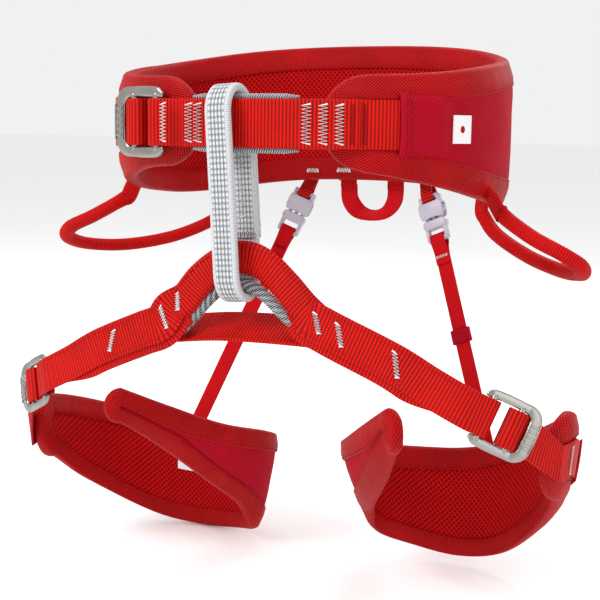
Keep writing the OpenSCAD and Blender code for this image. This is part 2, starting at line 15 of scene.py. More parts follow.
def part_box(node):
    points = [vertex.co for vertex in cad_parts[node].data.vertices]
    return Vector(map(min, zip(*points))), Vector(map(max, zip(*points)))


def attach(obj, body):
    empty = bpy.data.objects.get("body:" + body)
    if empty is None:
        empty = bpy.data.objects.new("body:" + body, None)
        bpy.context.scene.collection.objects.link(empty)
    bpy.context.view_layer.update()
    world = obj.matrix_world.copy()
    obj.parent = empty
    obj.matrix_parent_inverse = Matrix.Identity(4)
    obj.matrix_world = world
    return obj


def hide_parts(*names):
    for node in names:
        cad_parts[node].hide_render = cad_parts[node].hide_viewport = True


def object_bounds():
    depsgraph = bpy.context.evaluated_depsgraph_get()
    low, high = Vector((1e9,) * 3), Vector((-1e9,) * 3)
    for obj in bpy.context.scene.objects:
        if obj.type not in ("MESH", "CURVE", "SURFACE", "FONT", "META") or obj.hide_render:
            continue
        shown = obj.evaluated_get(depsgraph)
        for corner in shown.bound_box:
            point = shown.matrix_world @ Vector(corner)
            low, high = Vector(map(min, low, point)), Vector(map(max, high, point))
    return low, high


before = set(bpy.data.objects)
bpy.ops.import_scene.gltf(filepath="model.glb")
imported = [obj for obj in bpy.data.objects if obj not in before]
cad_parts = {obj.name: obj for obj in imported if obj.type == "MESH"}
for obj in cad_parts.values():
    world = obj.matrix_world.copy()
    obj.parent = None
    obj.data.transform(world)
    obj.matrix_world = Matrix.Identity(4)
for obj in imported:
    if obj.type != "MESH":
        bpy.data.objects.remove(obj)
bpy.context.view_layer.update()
rng = random.Random(11)
MM = 0.001


def box_mm(node):
    lo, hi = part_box(node)
    return np.array(lo) / MM, np.array(hi) / MM


# ---------------------------------------------------------------- driving dimensions, millimetres
FOAM = 3.5
FABRIC = 0.8
foam_lo, foam_hi = box_mm("waist_foam_core")
WAIST_A = foam_hi[0] - FOAM
WAIST_B = foam_hi[1] - FOAM
WAIST_N = 2.3
BELT_TOP = [(0, 47), (20, 46), (40, 43), (60, 38), (80, 33), (100, 28), (125, 23), (149, 21)]
BELT_BOT = [(0, -35), (20, -36), (40, -40), (60, -44), (80, -44), (100, -39), (120, -32), (149, -23)]
TONGUE_R = 22.0
TONGUE_T = 149.0
TONGUE_T_RIGHT = 154.5
TONGUE_Z = -1.0
TONGUE_K = 1.9
WEB_W = 25.0
WEB_T = 1.6
WEB_Z = -1.7
WEB_O = FOAM + 2 * FABRIC + 0.2
BAR_R = 2.0
BUCKLE_L = 45.0
BUCKLE_H = 37.0
BAR1 = -BUCKLE_L / 2 + 10.5
BAR2 = 7.5
LEG_K = 0.8
LEG_W = WEB_W * LEG_K
LEG_T = WEB_T * LEG_K
RIB_PITCH = 1.9
RIB_DEPTH = 0.16
LEG_DZ = 3.5
BELAY_H, BELAY_D, BELAY_T, BELAY_W = 113.6, 30.5, 4.5, 14.5


# ---------------------------------------------------------------- small maths
def vec(*p):
    return np.array(p, float)


def unit(v):
    return v / np.linalg.norm(v)


def lerp(a, b, u):
    return a + (b - a) * u


def smooth(x):
    x = min(1.0, max(0.0, x))
    return x * x * (3 - 2 * x)


def spow(v, e):
    return math.copysign(abs(v) ** e, v)


def catmull(points, u):
    """Value of a list of numbers or points at position u, on a Catmull-Rom curve."""
    n = len(points)

    def at(i):
        if i < 0:
            return 2 * points[0] - points[1]
        if i > n - 1:
            return 2 * points[n - 1] - points[n - 2]
        return points[i]

    i = max(0, min(n - 2, math.floor(u)))
    k = u - i
    a, b, c, d = at(i - 1), at(i), at(i + 1), at(i + 2)
    return 0.5 * (2 * b + (c - a) * k + (2 * a - 5 * b + 4 * c - d) * k * k + (3 * b - a - 3 * c + d) * k**3)


def curve(points, n):
    points = [np.array(p, float) for p in points]
    return [catmull(points, i * (len(points) - 1) / n) for i in range(n + 1)]


def even(path, step, closed=False):
    """The path resampled at an even step."""
    pts = [np.array(p, float) for p in path] + ([np.array(path[0], float)] if closed else [])
    length = np.concatenate([[0], np.cumsum([np.linalg.norm(b - a) for a, b in zip(pts, pts[1:])])])
    n = max(2, int(round(length[-1] / step)))
    at = np.linspace(0, length[-1], n + 1)[: n if closed else n + 1]
    arr = np.array(pts)
    return [np.array([np.interp(s, length, arr[:, k]) for k in range(3)]) for s in at]


# ---------------------------------------------------------------- mesh making
def new_object(name, verts, faces, uvs, material):
    mesh = bpy.data.meshes.new(name)
    mesh.from_pydata([tuple(np.asarray(v) * MM) for v in verts], [], faces)
    layer = mesh.uv_layers.new(name="UVMap")
    layer.data.foreach_set("uv", np.array(uvs, float).ravel())
    bm = bmesh.new()
    bm.from_mesh(mesh)
    bmesh.ops.recalc_face_normals(bm, faces=bm.faces)
    bm.to_mesh(mesh)
    bm.free()
    mesh.polygons.foreach_set("use_smooth", [True] * len(mesh.polygons))
    mesh.materials.append(material)
    obj = bpy.data.objects.new(name, mesh)
    bpy.context.collection.objects.link(obj)
    return obj


def loft_data(rows, ring=True, loop=False, caps=True):
    """Vertices, faces and corner UVs (millimetres along and across) of a skin through rows of points."""
    rows = np.asarray(rows, float)
    m, k, _ = rows.shape
    mid = rows.mean(axis=1)
    steps = [np.linalg.norm(mid[(i + 1) % m] - mid[i]) for i in range(m)]
    along = np.concatenate([[0], np.cumsum(steps)])
    girth = np.linalg.norm(np.roll(rows, -1, axis=1) - rows, axis=2)
    across = np.concatenate([np.zeros((m, 1)), np.cumsum(girth, axis=1)], axis=1)
    verts = list(rows.reshape(-1, 3))
    faces, uvs = [], []
    for i in range(m if loop else m - 1):
        for j in range(k if ring else k - 1):
            i2, j2 = (i + 1) % m, (j + 1) % k
            faces.append((i * k + j, i * k + j2, i2 * k + j2, i2 * k + j))
            for a, b in ((i, j), (i, j + 1), (i + 1, j + 1), (i + 1, j)):
                uvs.append((along[a], across[a % m][b]))
    if ring and caps and not loop:
        for i in (0, m - 1):
            centre = len(verts)
            verts.append(rows[i].mean(axis=0))
            for j in range(k):
                faces.append((i * k + j, i * k + (j + 1) % k, centre))
                for b in (j, j + 1):
                    uvs.append((along[i], across[i][b]))
                uvs.append((along[i] + 1, across[i][j]))
    return verts, faces, uvs


def join_data(parts):
    verts, faces, uvs = [], [], []
    for v, f, t in parts:
        base = len(verts)
        verts += list(v)
        faces += [tuple(i + base for i in face) for face in f]
        uvs += list(t)
    return verts, faces, uvs


def piece(name, data, material, body, nodes=()):
    """One finished piece: its mesh, the body it rides on and the CAD nodes it stands for."""
    obj = new_object(name, *data, material)
    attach(obj, body)
    if nodes:
        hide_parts(*nodes)
    return obj


def flat_profile(w, t, side=9, cup=0.0, edge=0.0):
    """Rounded cross section of webbing: (thickness, width) pairs; edge thickens the selvedges."""
    out = []
    r = t / 2
    for i in range(side):
        x = lerp(-w / 2 + r, w / 2 - r, i / (side - 1))
        lift = edge * (abs(x) / (w / 2)) ** 8
        out.append((r + lift + cup * (1 - (2 * x / w) ** 2), x))
    for a in (60, 30, 0, -30, -60):
        out.append(((r + edge) * math.sin(math.radians(a)) * 0.98, w / 2 - r + r * math.cos(math.radians(a))))
    for i in range(side):
        x = lerp(w / 2 - r, -w / 2 + r, i / (side - 1))
        lift = edge * (abs(x) / (w / 2)) ** 8
        out.append((-r - lift + cup * (1 - (2 * x / w) ** 2), x))
    for a in (-60, -30, 0, 30, 60):
        out.append(((r + edge) * math.sin(math.radians(a)) * 0.98, -w / 2 + r - r * math.cos(math.radians(a))))
    return out


def round_profile(r, n=16):
    return [(r * math.cos(2 * math.pi * i / n), r * math.sin(2 * math.pi * i / n)) for i in range(n)]


def frames(path, up, closed=False):
    """Point, thickness direction and width direction at every point of a path."""
    n = len(path)
    ups = up if isinstance(up, list) else [up] * n
    out = []
    for i, p in enumerate(path):
        a = path[(i - 1) % n] if closed else path[max(0, i - 1)]
        b = path[(i + 1) % n] if closed else path[min(n - 1, i + 1)]
        t = unit(b - a)
        s = unit(np.cross(ups[i], t))
        out.append((p, s, np.cross(t, s)))
    return out


def sweep(path, profile, up, closed=False, shape=None):
    """Loft of a profile along a path; shape(i, n, w) may alter each profile point."""
    rows = []
    for i, (p, s, w) in enumerate(frames(path, up, closed)):
        row = []
        for a, b in profile:
            if shape:
                a, b = shape(i, a, b)
            row.append(p + a * s + b * w)
        rows.append(row)
    return loft_data(rows, loop=closed)


def stitches(segments, r=0.28, lift=None):
    """Short rounded thread stitches from a list of (start, end, normal)."""
    parts = []
    for a, b, nrm in segments:
        d = unit(b - a)
        side = unit(np.cross(nrm, d))
        rows = []
        for u, k in ((0, 0.35), (0.14, 0.9), (0.5, 1.15), (0.86, 0.9), (1, 0.35)):
            c = lerp(a, b, u)
            rows.append([c + k * r * (math.cos(q) * side * 1.15 + math.sin(q) * nrm) for q in np.arange(0, 6.28, 1.047)])
        parts.append(loft_data(rows))
    return join_data(parts)


def rounded_box(lo, hi, bevel, place=None, segments=2):
    """Bevelled box as mesh data; place maps a local point to the frame."""
    bm = bmesh.new()
    bmesh.ops.create_cube(bm, size=1)
    lo, hi = np.array(lo, float), np.array(hi, float)
    for v in bm.verts:
        v.co = Vector(lo + (np.array(v.co) + 0.5) * (hi - lo))
    bmesh.ops.bevel(bm, geom=bm.edges[:], offset=bevel, segments=segments, profile=0.5, affect="EDGES")
    return bm_data(bm, place)


def prism(points, z0, z1, bevel, place=None):
    """Bevelled prism of a plan outline between two heights."""
    bm = bmesh.new()
    base = [bm.verts.new((x, y, z0)) for x, y in points]
    face = bm.faces.new(base)
    top = bmesh.ops.extrude_face_region(bm, geom=[face])
    bmesh.ops.translate(bm, vec=(0, 0, z1 - z0), verts=[v for v in top["geom"] if isinstance(v, bmesh.types.BMVert)])
    bmesh.ops.recalc_face_normals(bm, faces=bm.faces)
    bmesh.ops.bevel(bm, geom=bm.edges[:], offset=bevel, segments=2, profile=0.5, affect="EDGES")
    return bm_data(bm, place)


def bm_data(bm, place):
    bm.verts.ensure_lookup_table()
    verts = [np.array(v.co) for v in bm.verts]
    if place:
        verts = [place(v) for v in verts]
    faces = [tuple(v.index for v in f.verts) for f in bm.faces]
    uvs = [(l.vert.co.x, l.vert.co.y + l.vert.co.z) for f in bm.faces for l in f.loops]
    bm.free()
    return verts, faces, uvs


# ---------------------------------------------------------------- materials
def material(name, colour, rough=0.8, metal=0.0, sheen=0.0):
    mat = bpy.data.materials.new(name)
    mat.use_nodes = True
    tree = mat.node_tree
    bsdf = tree.nodes["Principled BSDF"]
    bsdf.inputs["Base Color"].default_value = (*colour, 1)
    bsdf.inputs["Roughness"].default_value = rough
    bsdf.inputs["Metallic"].default_value = metal
    bsdf.inputs["Sheen Weight"].default_value = sheen
    bsdf.inputs["Sheen Roughness"].default_value = 0.4
    bsdf.inputs["Sheen Tint"].default_value = (*colour, 1)
    bsdf.inputs["Specular IOR Level"].default_value = 0.5 if sheen == 0 else 0.1
    return mat, tree, bsdf


def node(tree, kind, inputs=None, **props):
    n = tree.nodes.new(kind)
    for key, value in props.items():
        setattr(n, key, value)
    for key, value in (inputs or {}).items():
        if isinstance(value, bpy.types.NodeSocket):
            tree.links.new(value, n.inputs[key])
        else:
            n.inputs[key].default_value = value
    return n


def maths(tree, op, a, b=0.0):
    return node(tree, "ShaderNodeMath", {0: a, 1: b}, operation=op).outputs[0]


def uv_axes(tree):
    uv = node(tree, "ShaderNodeUVMap", uv_map="UVMap")
    sep = node(tree, "ShaderNodeSeparateXYZ", {0: uv.outputs[0]})
    return uv.outputs[0], sep.outputs[0], sep.outputs[1]


def wave(tree, x, period, phase=0.0):
    """0 to 1 ripple of a coordinate with the given period in millimetres."""
    s = maths(tree, "SINE", maths(tree, "ADD", maths(tree, "MULTIPLY", x, 2 * math.pi / period), phase))
    return maths(tree, "ADD", maths(tree, "MULTIPLY", s, 0.5), 0.5)


def colour_mix(tree, bsdf, dark, light, fac):
    ramp = node(tree, "ShaderNodeMix", data_type="RGBA")
    tree.links.new(fac, ramp.inputs[0])
    ramp.inputs[6].default_value = (*dark, 1)
    ramp.inputs[7].default_value = (*light, 1)
    tree.links.new(ramp.outputs[2], bsdf.inputs["Base Color"])


def bump(tree, bsdf, height, strength=0.5, distance=0.0003):
    b = node(tree, "ShaderNodeBump", {"Height": height, "Strength": strength, "Distance": distance})
    tree.links.new(b.outputs[0], bsdf.inputs["Normal"])


def blotch(tree, scale, detail=3.0):
    """Slow random colour variation, read in object space."""
    co = node(tree, "ShaderNodeTexCoord")
    return node(tree, "ShaderNodeTexNoise", {"Vector": co.outputs["Object"], "Scale": scale, "Detail": detail}).outputs[0]


def woven(name, dark, light, rib, cross, rough=0.62, sheen=0.25, strength=0.6, mottle_depth=0.35):
    """Webbing: ribs across the strap every rib mm, crossed by yarns every cross mm. Its colour is painted light:
    painted shade in the gaps between ribs, painted highlight on the rib tops.
    """
    mat, tree, bsdf = material(name, light, rough, sheen=sheen)
    _, u, v = uv_axes(tree)
    a = maths(tree, "POWER", wave(tree, u, rib, math.pi / 2), 0.7)
    b = wave(tree, v, cross)
    weave = maths(tree, "ADD", maths(tree, "MULTIPLY", a, 0.78), maths(tree, "MULTIPLY", b, 0.22))
    # slow random darkening in blotches
    mottle = maths(tree, "MULTIPLY", blotch(tree, 55.0), mottle_depth)
    fac = maths(tree, "SUBTRACT", maths(tree, "ADD", weave, 0.12), mottle)
    # painted light: dark is the red in shade between the ribs, light is the lit red of the rib tops
    colour_mix(tree, bsdf, dark, light, fac)
    bump(tree, bsdf, weave, strength)
    return mat


def twill(name, dark, light, period, rough=0.75, sheen=0.2, strength=0.5):
    """Fabric with a fine diagonal weave, its colour painted light: painted shade between the yarns and dotted painted
    highlights where the two diagonals cross.
    """
    mat, tree, bsdf = material(name, light, rough, sheen=sheen)
    _, u, v = uv_axes(tree)
    a = wave(tree, maths(tree, "ADD", u, v), period)
    b = wave(tree, maths(tree, "SUBTRACT", u, maths(tree, "MULTIPLY", v, 0.9)), period * 1.15)
    weave = maths(tree, "ADD", maths(tree, "MULTIPLY", a, 0.45), maths(tree, "MULTIPLY", maths(tree, "MULTIPLY", a, b), 0.7))
    # slow random darkening in blotches
    mottle = maths(tree, "MULTIPLY", blotch(tree, 38.0), 0.42)
    fac = maths(tree, "SUBTRACT", maths(tree, "ADD", weave, 0.2), mottle)
    # painted light: dark is the cloth in shade, light is the cloth catching dotted highlights
    colour_mix(tree, bsdf, dark, light, fac)
    bump(tree, bsdf, weave, strength)
    return mat


def air_mesh(name, hole, yarn, pitch=3.1):
    """Spacer mesh: a staggered grid of dark oval holes."""
    mat, tree, bsdf = material(name, yarn, 0.85, sheen=0.15)
    _, u, v = uv_axes(tree)
    cos_u = node(tree, "ShaderNodeMath", {0: maths(tree, "MULTIPLY", u, 2 * math.pi / pitch)}, operation="COSINE").outputs[0]
    cos_v = node(tree, "ShaderNodeMath", {0: maths(tree, "MULTIPLY", v, 2 * math.pi / (pitch * 1.15))}, operation="COSINE").outputs[0]
    grid = maths(tree, "MULTIPLY", cos_u, cos_v)
    open_ = node(tree, "ShaderNodeMapRange", {"Value": grid, "From Min": 0.18, "From Max": 0.55}).outputs[0]
    solid = maths(tree, "SUBTRACT", 1.0, open_)
    tint = maths(tree, "SUBTRACT", solid, maths(tree, "MULTIPLY", blotch(tree, 45.0), 0.25))
    colour_mix(tree, bsdf, hole, yarn, tint)
    bump(tree, bsdf, solid, 0.8, 0.0006)
    return mat


def ladder(name, dark, light):
    """Belay loop webbing: five columns of pale cells between dark dashes, with dense pale edge bands."""
    mat, tree, bsdf = material(name, light, 0.6, sheen=0.1)
    uv, u, v = uv_axes(tree)
    face = BELAY_W - BELAY_T
    across = maths(tree, "MODULO", v, face + math.pi * BELAY_T / 2)
    band = node(tree, "ShaderNodeMapRange", {"Value": maths(tree, "ABSOLUTE", maths(tree, "SUBTRACT", across, face / 2)),
                                             "From Min": face / 2 - 0.4, "From Max": face / 2}).outputs[0]
    cell = maths(tree, "POWER", wave(tree, across, face / 5, -math.pi / 2), 0.45)
    rung = maths(tree, "POWER", wave(tree, u, 2.9), 0.55)
    dash = maths(tree, "MULTIPLY", cell, maths(tree, "ADD", maths(tree, "MULTIPLY", rung, 0.75), 0.25))
    fine = maths(tree, "ADD", maths(tree, "MULTIPLY", wave(tree, u, 1.1), 0.3), 0.62)
    weave = node(tree, "ShaderNodeMix", {0: band, 2: dash, 3: fine}).outputs[0]
    speck = node(tree, "ShaderNodeTexNoise", {"Vector": uv, "Scale": 1.6, "Detail": 4.0}).outputs[0]
    speck = node(tree, "ShaderNodeMapRange", {"Value": speck, "From Min": 0.36, "From Max": 0.6}).outputs[0]
    tone = maths(tree, "MULTIPLY", weave, maths(tree, "ADD", maths(tree, "MULTIPLY", speck, 0.35), 0.72))
    colour_mix(tree, bsdf, dark, light, tone)
    bump(tree, bsdf, weave, 0.8)
    return mat


def braid(name, dark, light, period):
    mat, tree, bsdf = material(name, light, 0.65, sheen=0.15)
    _, u, v = uv_axes(tree)
    a = wave(tree, maths(tree, "ADD", u, maths(tree, "MULTIPLY", v, 0.35)), period)
    tone = maths(tree, "SUBTRACT", maths(tree, "ADD", a, 0.1), maths(tree, "MULTIPLY", blotch(tree, 220.0), 0.3))
    colour_mix(tree, bsdf, dark, light, tone)
    bump(tree, bsdf, a, 0.7)
    return mat


def satin_metal(name, colour):
    mat, tree, bsdf = material(name, colour, 0.3, 1.0)
    co = node(tree, "ShaderNodeTexCoord")
    fine = node(tree, "ShaderNodeTexNoise", {"Vector": co.outputs["Object"], "Scale": 900.0, "Detail": 3.0}).outputs[0]
    broad = blotch(tree, 70.0)
    rough = node(tree, "ShaderNodeMapRange", {"Value": broad, "From Min": 0.3, "From Max": 0.7, "To Min": 0.22, "To Max": 0.42})
    tree.links.new(rough.outputs[0], bsdf.inputs["Roughness"])
    colour_mix(tree, bsdf, tuple(c * 0.78 for c in colour), colour, maths(tree, "ADD", maths(tree, "MULTIPLY", broad, 0.8), 0.3))
    bump(tree, bsdf, fine, 0.12, 0.0002)
    return mat


def plastic(name, colour):
    mat, tree, bsdf = material(name, colour, 0.42)
    broad = blotch(tree, 300.0)
    colour_mix(tree, bsdf, tuple(c * 0.88 for c in colour), colour, maths(tree, "ADD", broad, 0.25))
    co = node(tree, "ShaderNodeTexCoord")
    fine = node(tree, "ShaderNodeTexNoise", {"Vector": co.outputs["Object"], "Scale": 1800.0}).outputs[0]
    bump(tree, bsdf, fine, 0.15, 0.0001)
    return mat


def thread(name, colour):
    mat, tree, bsdf = material(name, colour, 0.7, sheen=0.2)
    _, u, v = uv_axes(tree)
    twist = wave(tree, maths(tree, "ADD", u, v), 0.45)
    # painted shade in the grooves between the twisted plies, full colour on the lit plies
    colour_mix(tree, bsdf, tuple(c * 0.6 for c in colour), colour, maths(tree, "ADD", twist, 0.35))
    bump(tree, bsdf, twist, 0.4, 0.0001)
    return mat


# CRIMSON, BINDING, WEBBING, ELASTIC, SLEEVE and LABEL each give one cloth twice: first its painted shade colour, then
# its painted lit colour with highlights.
CRIMSON = twill("crimson_fabric", (0.20, 0.0, 0.005), (0.54, 0.0, 0.020), 1.9, strength=0.5)
BINDING = twill("edge_binding", (0.12, 0.0, 0.0), (0.68, 0.001, 0.004), 1.7, rough=0.5, sheen=0.1, strength=1.0)
LINING = air_mesh("air_mesh", (0.09, 0.0, 0.0), (0.48, 0.001, 0.002))
WEBBING = woven("red_webbing", (0.12, 0.0, 0.0), (0.68, 0.006, 0.002), RIB_PITCH, 0.95, rough=0.5, strength=0.8)
ELASTIC = woven("elastic_webbing", (0.30, 0.0, 0.002), (0.62, 0.001, 0.006), 0.9, 0.9, strength=0.4)
SLEEVE = woven("cord_sleeve", (0.18, 0.0, 0.0), (0.64, 0.002, 0.003), 1.3, 1.2, strength=0.8)
LADDER = ladder("grey_webbing", (0.10, 0.105, 0.11), (0.66, 0.68, 0.70))
BRAID = braid("grey_braid", (0.02, 0.022, 0.025), (0.50, 0.52, 0.54), 1.3)
METAL = satin_metal("buckle_metal", (0.33, 0.32, 0.30))
LILAC = plastic("lilac_plastic", (0.46, 0.45, 0.53))
WHITE = thread("white_thread", (0.88, 0.87, 0.86))
RED_THREAD = thread("red_thread", (0.42, 0.004, 0.008))
LABEL = woven("white_label", (0.62, 0.60, 0.60), (0.86, 0.85, 0.85), 0.5, 0.5, strength=0.2, mottle_depth=0.2)
FOAM_GREY = plastic("foam", (0.10, 0.10, 0.11))


# ---------------------------------------------------------------- waist belt surface
def belt_point(t, z, off):
    """Point of the belt at angle t from the middle of the back, height z and offset off from its mid surface."""
    r = math.radians(t)
    return vec((WAIST_A + off) * spow(math.sin(r), 2 / WAIST_N), (WAIST_B + off) * spow(math.cos(r), 2 / WAIST_N), z)


def table_at(table, t):
    return float(np.interp(abs(t), [a for a, _ in table], [b for _, b in table]))


def soft_table(table, t):
    """The table smoothed over its corners."""
    return sum(table_at(table, min(TONGUE_T, abs(t + d))) for d in (-8, -4, 0, 4, 8)) / 5


def belt_top(t):
    return soft_table(BELT_TOP, t)


def belt_bottom(t):
    return soft_table(BELT_BOT, t)


def tip_of(t):
    return TONGUE_T if t > 0 else TONGUE_T_RIGHT


def belt_span(t):
    """Bottom and top of the pad at angle t, rounded at the tongues."""
    if abs(t) <= tip_of(t):
        return belt_bottom(t), belt_top(t)
    x = min(1.0, (abs(t) - tip_of(t)) * TONGUE_K / TONGUE_R)
    h = TONGUE_R * math.sqrt(max(0.0, 1 - x * x))
    return TONGUE_Z - h, TONGUE_Z + h


def webbing_press(t, z):
    """1 where the front webbing lies on the pad and holds it flat."""
    return smooth((abs(t) - 88) / 16) * (1 - smooth((abs(z - WEB_Z) - 12) / 6))


def wrinkle(t, z, seed, size=24.0):
    return noise.noise(Vector((t * 1.8 / size, z / size, seed))) + 0.5 * noise.noise(Vector((t * 4 / size, z * 2.2 / size, seed + 5)))


def belt_half(t, z, edge, outside=True):
    """Half thickness of the stuffed belt, thin at the bound edge and crowned between."""
    press = webbing_press(t, z) if outside else 0.0
    h = 2.3 + 1.2 * smooth(edge / 9) + 1.5 * smooth(edge / 17) * (1 - press)
    return h + 0.35 * wrinkle(t, z, 3.0 if outside else 9.0) * smooth(edge / 14) * (1 - press)


def belt_edge_distance(t, z):
    lo, hi = belt_span(t)
    d = min(z - lo, hi - z)
    if abs(t) > tip_of(t):
        x = (abs(t) - tip_of(t)) * TONGUE_K
        d = TONGUE_R - math.hypot(x, z - TONGUE_Z)
    return max(0.0, d)


def tongue_steps():
    arc = [TONGUE_R * math.sin(math.radians(a)) / TONGUE_K for a in (12, 24, 36, 48, 60, 70, 78)]
    return [-TONGUE_T_RIGHT - t for t in reversed(arc)] + list(np.linspace(-TONGUE_T_RIGHT, TONGUE_T, 153)) + [TONGUE_T + t for t in arc]


def belt_shell(side, gap, thick, rows_v=22):
    """Cloth sheet on one side of the belt: side is 1 outside and -1 inside, gap lifts it off the foam."""
    rows = []
    for t in tongue_steps():
        lo, hi = belt_span(t)
        face, back = [], []
        for j in range(rows_v + 1):
            z = lerp(lo, hi, j / rows_v)
            h = belt_half(t, z, belt_edge_distance(t, z), side > 0) + gap
            face.append(belt_point(t, z, side * (h + thick)))
            back.append(belt_point(t, z, side * h))
        rows.append(face + back[::-1])
    return loft_data(rows)


def belt_core(rows_v=14):
    rows = []
    for t in tongue_steps()[::2]:
        lo, hi = belt_span(t)
        zs = [lerp(lo, hi, j / rows_v) for j in range(rows_v + 1)]
        out = [belt_point(t, z, belt_half(t, z, belt_edge_distance(t, z)) - 0.1) for z in zs]
        ins = [belt_point(t, z, -belt_half(t, z, belt_edge_distance(t, z), False) + 0.1) for z in zs]
        rows.append(out + ins[::-1])
    return loft_data(rows)


def belt_rim():
    """Closed walk round the pad's outline: angle, height and outward direction in (arc, height)."""
    out = [(t, belt_top(t), 0.0, 1.0) for t in np.arange(-TONGUE_T_RIGHT, TONGUE_T - 1, 1.6)]
    turn = np.arange(0, 180, 8)
    out += [(TONGUE_T + TONGUE_R * math.sin(math.radians(a)) / TONGUE_K, TONGUE_Z + TONGUE_R * math.cos(math.radians(a)),
             math.sin(math.radians(a)), math.cos(math.radians(a))) for a in turn]
    out += [(t, belt_bottom(t), 0.0, -1.0) for t in np.arange(TONGUE_T, -TONGUE_T_RIGHT + 1, -1.6)]
    out += [(-TONGUE_T_RIGHT - TONGUE_R * math.sin(math.radians(a)) / TONGUE_K, TONGUE_Z + TONGUE_R * math.cos(math.radians(a)),
             -math.sin(math.radians(a)), math.cos(math.radians(a))) for a in (180 - turn)]
    return out


BIND_W = 12.5
BIND_PUFF = 0.7


def binding_profile(width, edge_r):
    """Tape folded over an edge: (side, distance in from the edge, lift) down one face, round and up the other."""
    face = [(1, width * u, 0.0) for u in (1.0, 0.97, 0.8, 0.6, 0.4, 0.22, 0.1)]
    nose = [(math.cos(math.radians(a)), -edge_r * math.sin(math.radians(a)), 0.0) for a in (12, 30, 50, 70, 90, 110, 130, 150, 168)]
    return face + nose + [(-1, d, 0.0) for _, d, _ in reversed(face)]


def bound_edge(rim, point_at, half_at, width_at, seed, thick=0.75):
    """Binding tape round a pad: outer skin and inner skin joined into a closed ring."""
    rows = []
    for i, q in enumerate(rim):
        w = width_at(q)
        skin = []
        for lift in (FABRIC + thick, FABRIC + 0.05):
            line = []
            for side, d, _ in binding_profile(w, 2.2 if lift > 1.2 else 1.5):
                inset = max(0.0, d)
                h = half_at(q, inset, side >= 0)
                puff = BIND_PUFF * math.sin(math.pi * min(1.0, inset / w)) ** 0.7 if inset > 0 and lift > 1.2 else 0.0
                ripple = 0.3 * noise.noise(Vector((i * 0.42, side * 2, seed))) if lift > 1.2 else 0.0
                cut = 0.45 if inset >= w * 0.99 and lift > 1.2 else 0.0
                line.append(point_at(q, d, side * (h + lift + puff + ripple - cut)))
            skin.append(line)
        rows.append(skin[0] + skin[1][::-1])
    return loft_data(rows, loop=True)


def belt_at(q, d, off):
    t, z, dt, dz = q
    return belt_point(t - d * dt / TONGUE_K, z - d * dz, off)


def belt_half_at(q, d, outside):
    t, z, dt, dz = q
    tt, zz = t - d * dt / TONGUE_K, z - d * dz
    return belt_half(tt, zz, d, outside)


def seam_on(rim, point_at, half_at, width_at, inset, side, step=3.3, length=2.3, extra=FABRIC * 2 + 0.35):
    """Stitch row that runs along a binding, inset millimetres from the edge."""
    line = [point_at(q, inset * width_at(q), side * (half_at(q, inset * width_at(q), side > 0) + extra + BIND_PUFF * 0.35)) for q in rim]
    low = [point_at(q, inset * width_at(q), side * (half_at(q, inset * width_at(q), side > 0) + extra - 1)) for q in rim]
    pts = even(line, step, closed=True)
    under = even(low, step, closed=True)
    out = []
    n = min(len(pts), len(under))
    for i in range(n):
        a, b = pts[i], pts[(i + 1) % n]
        nrm = unit(pts[i] - under[i])
        out.append((a, a + unit(b - a) * length, nrm))
    return out


# ---------------------------------------------------------------- waist belt pieces
def rib(a, b, along, w=WEB_W):
    """Thickness of webbing raised and lowered by its ribs, which stop at the plain selvedges."""
    if abs(b) > w / 2 - 1.6:
        return a
    return a + math.copysign(RIB_DEPTH * math.cos(2 * math.pi * along / RIB_PITCH), a)


def ribbed(path, up, w=WEB_W, t=WEB_T, step=0.42, edge=0.12, taper=0.1):
    """Webbing with ribs across it, swept along a path; it narrows over the first taper millimetres."""
    fine = even(path, step)
    ups = [ups_at(up, i / (len(fine) - 1)) for i in range(len(fine))] if isinstance(up, list) else up
    return sweep(fine, flat_profile(w, t, side=13, edge=edge), ups, shape=lambda i, a, b: (rib(a, b, i * step, w), b * lerp(0.78, 1, smooth(i * step / taper))) if taper > 1 else (rib(a, b, i * step, w), b))


def ups_at(ups, u):
    k = u * (len(ups) - 1)
    i = min(len(ups) - 2, int(k))
    return lerp(ups[i], ups[i + 1], k - i)


def strap_on_belt(t0, t1, z, profile, off, step=1.5, z_shift=None, off_shift=None):
    """Rows of a strap lying on the belt; off_shift(u) and z_shift(u) bend it along its length."""
    n = max(2, int(abs(t1 - t0) / step))
    rows = []
    for i in range(n + 1):
        u = i / n
        t = lerp(t0, t1, u)
        o = off + (off_shift(u) if off_shift else 0)
        c = z + (z_shift(u) if z_shift else 0)
        rows.append([belt_point(t, c + b, o + a) for a, b in profile])
    return rows


def zigzag(at, width, height, turns, r=0.3):
    """Bar tack: thread zigzagging up a narrow column; at(x, y) gives a surface point and its normal."""
    path, ups = [], []
    for i in range(turns * 2 + 1):
        x = width / 2 * (1 if i % 2 else -1)
        p, nrm = at(x, lerp(-height / 2, height / 2, i / (turns * 2)))
        path.append(p)
        ups.append(nrm)
    rows = [[p + s * a + w * b for a, b in round_profile(r, 6)] for p, s, w in frames(path, ups)]
    return loft_data(rows)


def on_buckle_run(x, y):
    """Point and normal on the webbing just before it goes over the buckle's first bar."""
    return WAIST_BUCKLE((BAR1 - 11 + x, -y, BAR_R + 0.4 + WEB_T + 0.3)), WAIST_BUCKLE.n


def flat_tack(t, z, side):
    """Short white tack lying along the binding, on the outer (1) or inner (-1) face."""
    off = side * (FOAM + FABRIC * 2 + 1.3)
    nrm = side * unit(belt_point(t, z, 1) - belt_point(t, z, 0))
    return zigzag(lambda x, y: (belt_point(t + y / TONGUE_K, z + x, off), nrm), 2.4, 8, 8, 0.5)


def on_belt_surface(t, z, off):
    def at(x, y):
        p = belt_point(t + x / TONGUE_K, z + y, off)
        return p, unit(belt_point(t, z, off + 1) - belt_point(t, z, off))
    return at


LABEL_Z = -3.4


